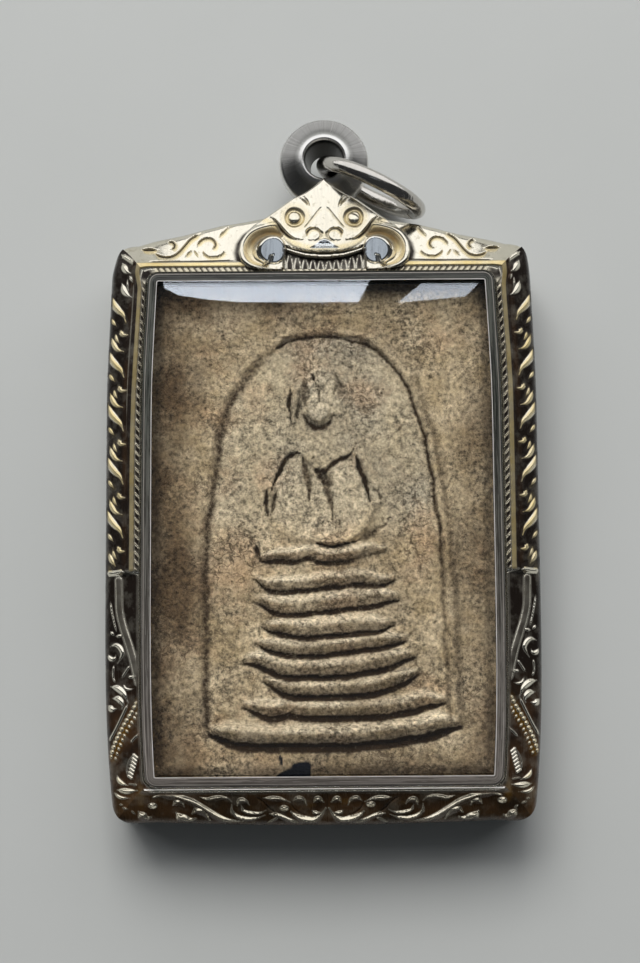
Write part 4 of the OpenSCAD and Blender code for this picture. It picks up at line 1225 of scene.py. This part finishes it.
def tablet():
    """The pressed clay tablet: arch, seated figure and the stepped seat in low relief."""
    columns, rows = 256, 372
    piece, column, row = new_sheet("tablet", columns, rows)
    x = (2 * column / (columns - 1) - 1) * TABLET_W
    up = (2 * row / (rows - 1) - 1) * TABLET_H
    face = np.full(len(x), CLAY_FACE)
    dirt_and_shade = np.zeros(len(x))
    rng = np.random.default_rng(11)
    shake = np.zeros((2, len(x)))
    for scale, far in ((2.5, 0.03), (5.0, 0.02), (8.0, 0.015), (12.0, 0.012), (17.0, 0.01)):
        for way in (0, 1, 0, 1):
            angle, phase = rng.uniform(0, math.tau, 2)
            shake[way] += far * np.sin(scale * (x * math.cos(angle) + up * math.sin(angle)) + phase)
    ragged_x, ragged_up = x + shake[0], up + shake[1]
    left, _ = smooth_line(ARCH_LEFT)
    right, _ = smooth_line(ARCH_RIGHT)
    left_wall = np.interp(up, *left[::-1][:, ::-1].T)
    right_wall = np.interp(up, *right[right[:, 0] > 0.5][::-1][:, ::-1].T, right=-99)
    within = np.minimum(x - left_wall, right_wall - x)
    within = np.where(up > 13.85, -1, np.where((up > 13.3) & (np.abs(x) < 2.8), 0.5, within))
    inside = step_between(-0.5, 0.6, within) * step_between(-16.0, -14.9, up)
    face -= 0.16 * inside
    near, gap, share = near_line(ragged_x, ragged_up, ARCH_LEFT, 0.9)
    trough = np.zeros(len(x))
    trough[near] = hump(gap, 0.62) * step_between(0, 0.1, share)
    near, gap, share = near_line(ragged_x, ragged_up, ARCH_RIGHT, 0.7)
    crack = np.zeros(len(x))
    crack[near] = hump(gap, 0.18 + 0.12 * share)
    ledge = np.zeros(len(x))
    ledge[near] = hump(gap - 0.42, 0.42) * (within[near] < 0)
    face += 0.2 * ledge - 0.34 * trough - 0.3 * crack
    dirt_and_shade = np.maximum(0.78 * trough**1.4, crack * (0.95 - 0.4 * step_between(-1, 6, -up)))
    face += 0.26 * ridge_along(x, up, OUTER_RIDGE, 0.5)
    gutter = hump(x - right_wall - 0.75, 0.5) * step_between(12.5, 8.0, up) * step_between(-15.0, -13.0, up)
    dirt_and_shade = np.maximum(dirt_and_shade, 0.45 * gutter)
    painted_light = np.zeros(len(x))
    for line_drawn, (tall, high, dark) in zip(TIERS, TIER_BULK):
        line, _ = smooth_line(line_drawn)
        order = np.argsort(line[:, 0])
        foot = np.interp(x, line[order, 0], line[order, 1])
        ends = np.minimum(x - line[:, 0].min(), line[:, 0].max() - x)
        body = step_between(-0.3, 0.8, ends)
        above = (up + 0.4 * shake[1] - foot) / tall
        above /= 0.45 + 0.55 * step_between(0.0, 1.8, ends)
        swell = step_between(-0.03, 0.08, above) * (0.5 + 0.5 * step_between(0.05, 0.62, above))
        swell *= step_between(1.04, 0.66, above)
        face = np.maximum(face, TIER_FOOT + high * swell * body)
        line_half = 0.12 + 0.16 * dark
        below = up + 0.6 * shake[1] - foot
        thick = line_half * (0.45 + 0.55 * step_between(0.0, 1.6, ends))
        # Painted shadow: a dark line under each tier, where its edge steps down.
        shade = (step_between(thick, 0.5 * thick, below) * step_between(-1.8 * thick, -0.8 * thick, below)
                 * step_between(-0.35, 0.2, ends))
        if line_drawn is TIERS[0]:
            shade *= step_between(3.6, 1.2, x)
        # Painted shade on the lower part of each tier, which turns away from the light.
        under_edge = step_between(0.0, 0.1, above) * step_between(0.62, 0.3, above)
        dirt_and_shade = most(dirt_and_shade, np.clip(shade * (0.8 + 0.3 * dark), 0, 1), 0.34 * body * under_edge)
        # Painted light on the upper face of each tier, which turns towards the light.
        painted_light = np.maximum(painted_light, body * step_between(0.42, 0.62, above) * step_between(1.2, 0.85, above))
        face -= 0.16 * shade
    torso_top = np.interp(x, *np.array(TORSO_TOP).T, left=-99, right=-99)
    torso_foot = np.interp(x, *np.array(TORSO_FOOT).T)
    torso = step_between(0.0, 0.3, torso_top - up) * step_between(-0.1, 1.0, up - torso_foot)
    chest = hump(np.hypot(x / 4.8, (up - 2.0) / 4.9), 1.3)
    face += 0.3 * chest * step_between(-1.6, -0.6, up) - 0.22 * torso
    for points, half, high in FIGURE_RIDGES:
        face += high * ridge_along(x, up, points, half)
    face += 0.2 * step_between(1.05, 0.7, np.hypot((x + 0.15) / 1.9, (up - 10.0) / 3.2))
    egg = np.clip(1 - ((x + 0.22) / 0.88) ** 2 - ((up - HEAD_UP) / 1.1) ** 2, 0, 1)
    face += (0.32 + 0.22 * (HEAD_UP - up)) * np.sqrt(egg)
    # Each cut is painted dark along its length, partly the clay's own dark lines and partly painted shadow.
    for points, half, deep, dark in FIGURE_CUTS:
        near, gap, share = near_line(ragged_x, ragged_up, points, 1.3 * half)
        wide = 1.3 * half * TAPERS["leaf"](share)
        groove = step_between(1, 0.3, gap / wide)
        face[near] -= 0.25 * deep * groove
        dirt_and_shade[near] = np.maximum(dirt_and_shade[near], dark * groove)
    flame = hump(np.hypot((x + 0.1) / 1.5, (up - 10.3) / 3.0), 1)
    # Painted light on the flame, the head and the torso as well.
    painted_light = most(painted_light, 1.3 * flame, step_between(0.1, 0.5, egg), 0.5 * torso)
    rng = np.random.default_rng(7)
    wobble = np.zeros(len(x))
    for scale, high in ((0.55, 0.05), (1.3, 0.03), (2.9, 0.02), (6.5, 0.014), (13.0, 0.012)):
        for _ in range(7):
            angle, phase = rng.uniform(0, math.tau, 2)
            wave = scale * (x * math.cos(angle) + up * math.sin(angle)) * rng.uniform(0.7, 1.4)
            wobble += high * np.sin(wave + phase) / 2
    face += wobble
    to_left, to_right, to_top, to_foot = TABLET_W + x, TABLET_W - x, TABLET_H - up, TABLET_H + up
    border = np.minimum(TABLET_W - np.abs(x), TABLET_H - np.abs(up))
    face -= 0.5 * (1 - step_between(0, 0.9, border))
    place(piece, x * waist(up + TABLET_Y), up + TABLET_Y, face)
    mark(piece, "dirt_and_shade", dirt_and_shade)
    brown = most(
        0.95 * (1 - step_between(0.3, 5.4, to_left + 0.8 * np.sin(up * 0.5))),
        0.9 * (1 - step_between(0.2, np.maximum(2.6 - 0.22 * x, 0.9), to_top)),
        0.6 * (1 - step_between(-0.5, 5.0, to_right + 0.7 * np.sin(up * 0.7))),
        0.55 * (1 - step_between(0.1, 3.4, to_foot)),
    )
    brown += 0.35 * step_between(7.0, 2.0, np.hypot(to_left, to_top))
    brown += 0.35 * step_between(6.0, 1.0, np.hypot(to_left, to_foot))
    brown += 0.4 * step_between(7.0, 1.5, np.hypot(to_right, to_foot))
    mark(piece, "edge", 0.1 + 0.9 * brown * (1 - 0.8 * inside))
    mark(piece, "inside", inside * step_between(-1.5, 2.5, up))
    mark(piece, "painted_light", np.clip(painted_light - dirt_and_shade, 0, 1))
    blot = ((x + 1.68) / 0.72) ** 4 + ((up + 17.1 - 0.15 * x) / 0.66) ** 4
    smear = ((x + 2.45) / 1.2) ** 2 + ((up + 17.55 - 0.3 * (x + 2.45)) / 0.42) ** 2
    spur = ((x + 3.1 + 0.15 * (up + 16.6)) / 0.14) ** 2 + ((up + 16.55) / 0.45) ** 2
    fleck = step_between(1.25, 0.8, np.minimum(np.minimum(blot, smear), spur + 0.2))
    mark(piece, "fleck", fleck)
    wall_down(piece, CLAY_BACK)
    close_shell(piece, angle=50)
    finish_piece(piece, "amulet", "clay", clay)


tablet()


PANE_HIGH = 1000.0


def set_up_view():
    """The floor, the camera at the photograph's angle, and a soft window light from above."""
    floor = start_piece("floor", bpy.ops.mesh.primitive_plane_add, size=4)
    floor.data.materials.append(make_floor())
    camera = bpy.data.objects.new("camera", bpy.data.cameras.new("camera"))
    bpy.context.collection.objects.link(camera)
    camera.location = (-0.00029, -0.0199, 0.1461)
    camera.rotation_euler = (math.radians(7.5), 0, math.radians(-0.4))
    camera.data.lens = 73.5
    camera.data.sensor_width = 36
    camera.data.clip_start = 0.01
    bpy.context.scene.camera = camera
    lamps = (
        ("window", (0, 0.3, 0.5), (math.radians(-90), 0, 0), 1.3, 0.96, 4.7, (0.98, 0.985, 1.0), True),
        ("ceiling", (0, 0.05, 1.5), (0, 0, 0), 1.2, 1.2, 0.7, (0.86, 0.94, 1.0), False),
        ("day", (-0.12, 0.5, 0.6), (math.radians(-39), 0, math.radians(14)), 0.5, 0.4, 4.0,
         (1.0, 0.99, 0.96), False),
    )
    for name, location, turn, wide, tall, power, colour, mirrored in lamps:
        data = bpy.data.lights.new(name, "AREA")
        data.shape = "RECTANGLE"
        data.size = wide
        data.size_y = tall
        data.energy = power
        data.color = colour
        lamp = bpy.data.objects.new(name, data)
        lamp.location = location
        lamp.rotation_euler = turn
        lamp.visible_camera = False
        lamp.visible_glossy = mirrored
        bpy.context.collection.objects.link(lamp)
    for name, strength, outline in (
        ("pane_left", 9.0, ((-91, 250), (-90, 244.5), (-82, 240), (-65, 237.3), (-47, 235.6), (24, 235),
                            (32, 250))),
        ("pane_right", 5.5, ((47, 234.5), (61, 246), (95, 246), (87, 238))),
        ("pane_above", 0.6, ((-110, -190), (-110, -65), (110, -65), (110, -190))),
    ):
        pane = start_piece(name, bpy.ops.mesh.primitive_circle_add, vertices=len(outline), radius=0.1,
                           fill_type="NGON")
        place(pane, *np.array(outline).T, np.full(len(outline), PANE_HIGH))
        pane.data.materials.append(Finish(name + "_glow").done({
            "Base Color": (0, 0, 0),
            "Emission Color": (0.82, 0.89, 1.0),
            "Emission Strength": strength,
        }))
        pane.visible_camera = False
    world = bpy.data.worlds.new("dim_room")
    bpy.context.scene.world = world
    world.use_nodes = True
    Mixer(world.node_tree).feed(world.node_tree.nodes["Background"],
                                {"Color": (0.9, 0.95, 1.0), "Strength": 0.04})
    bpy.context.scene.view_settings.view_transform = "Standard"


set_up_view()
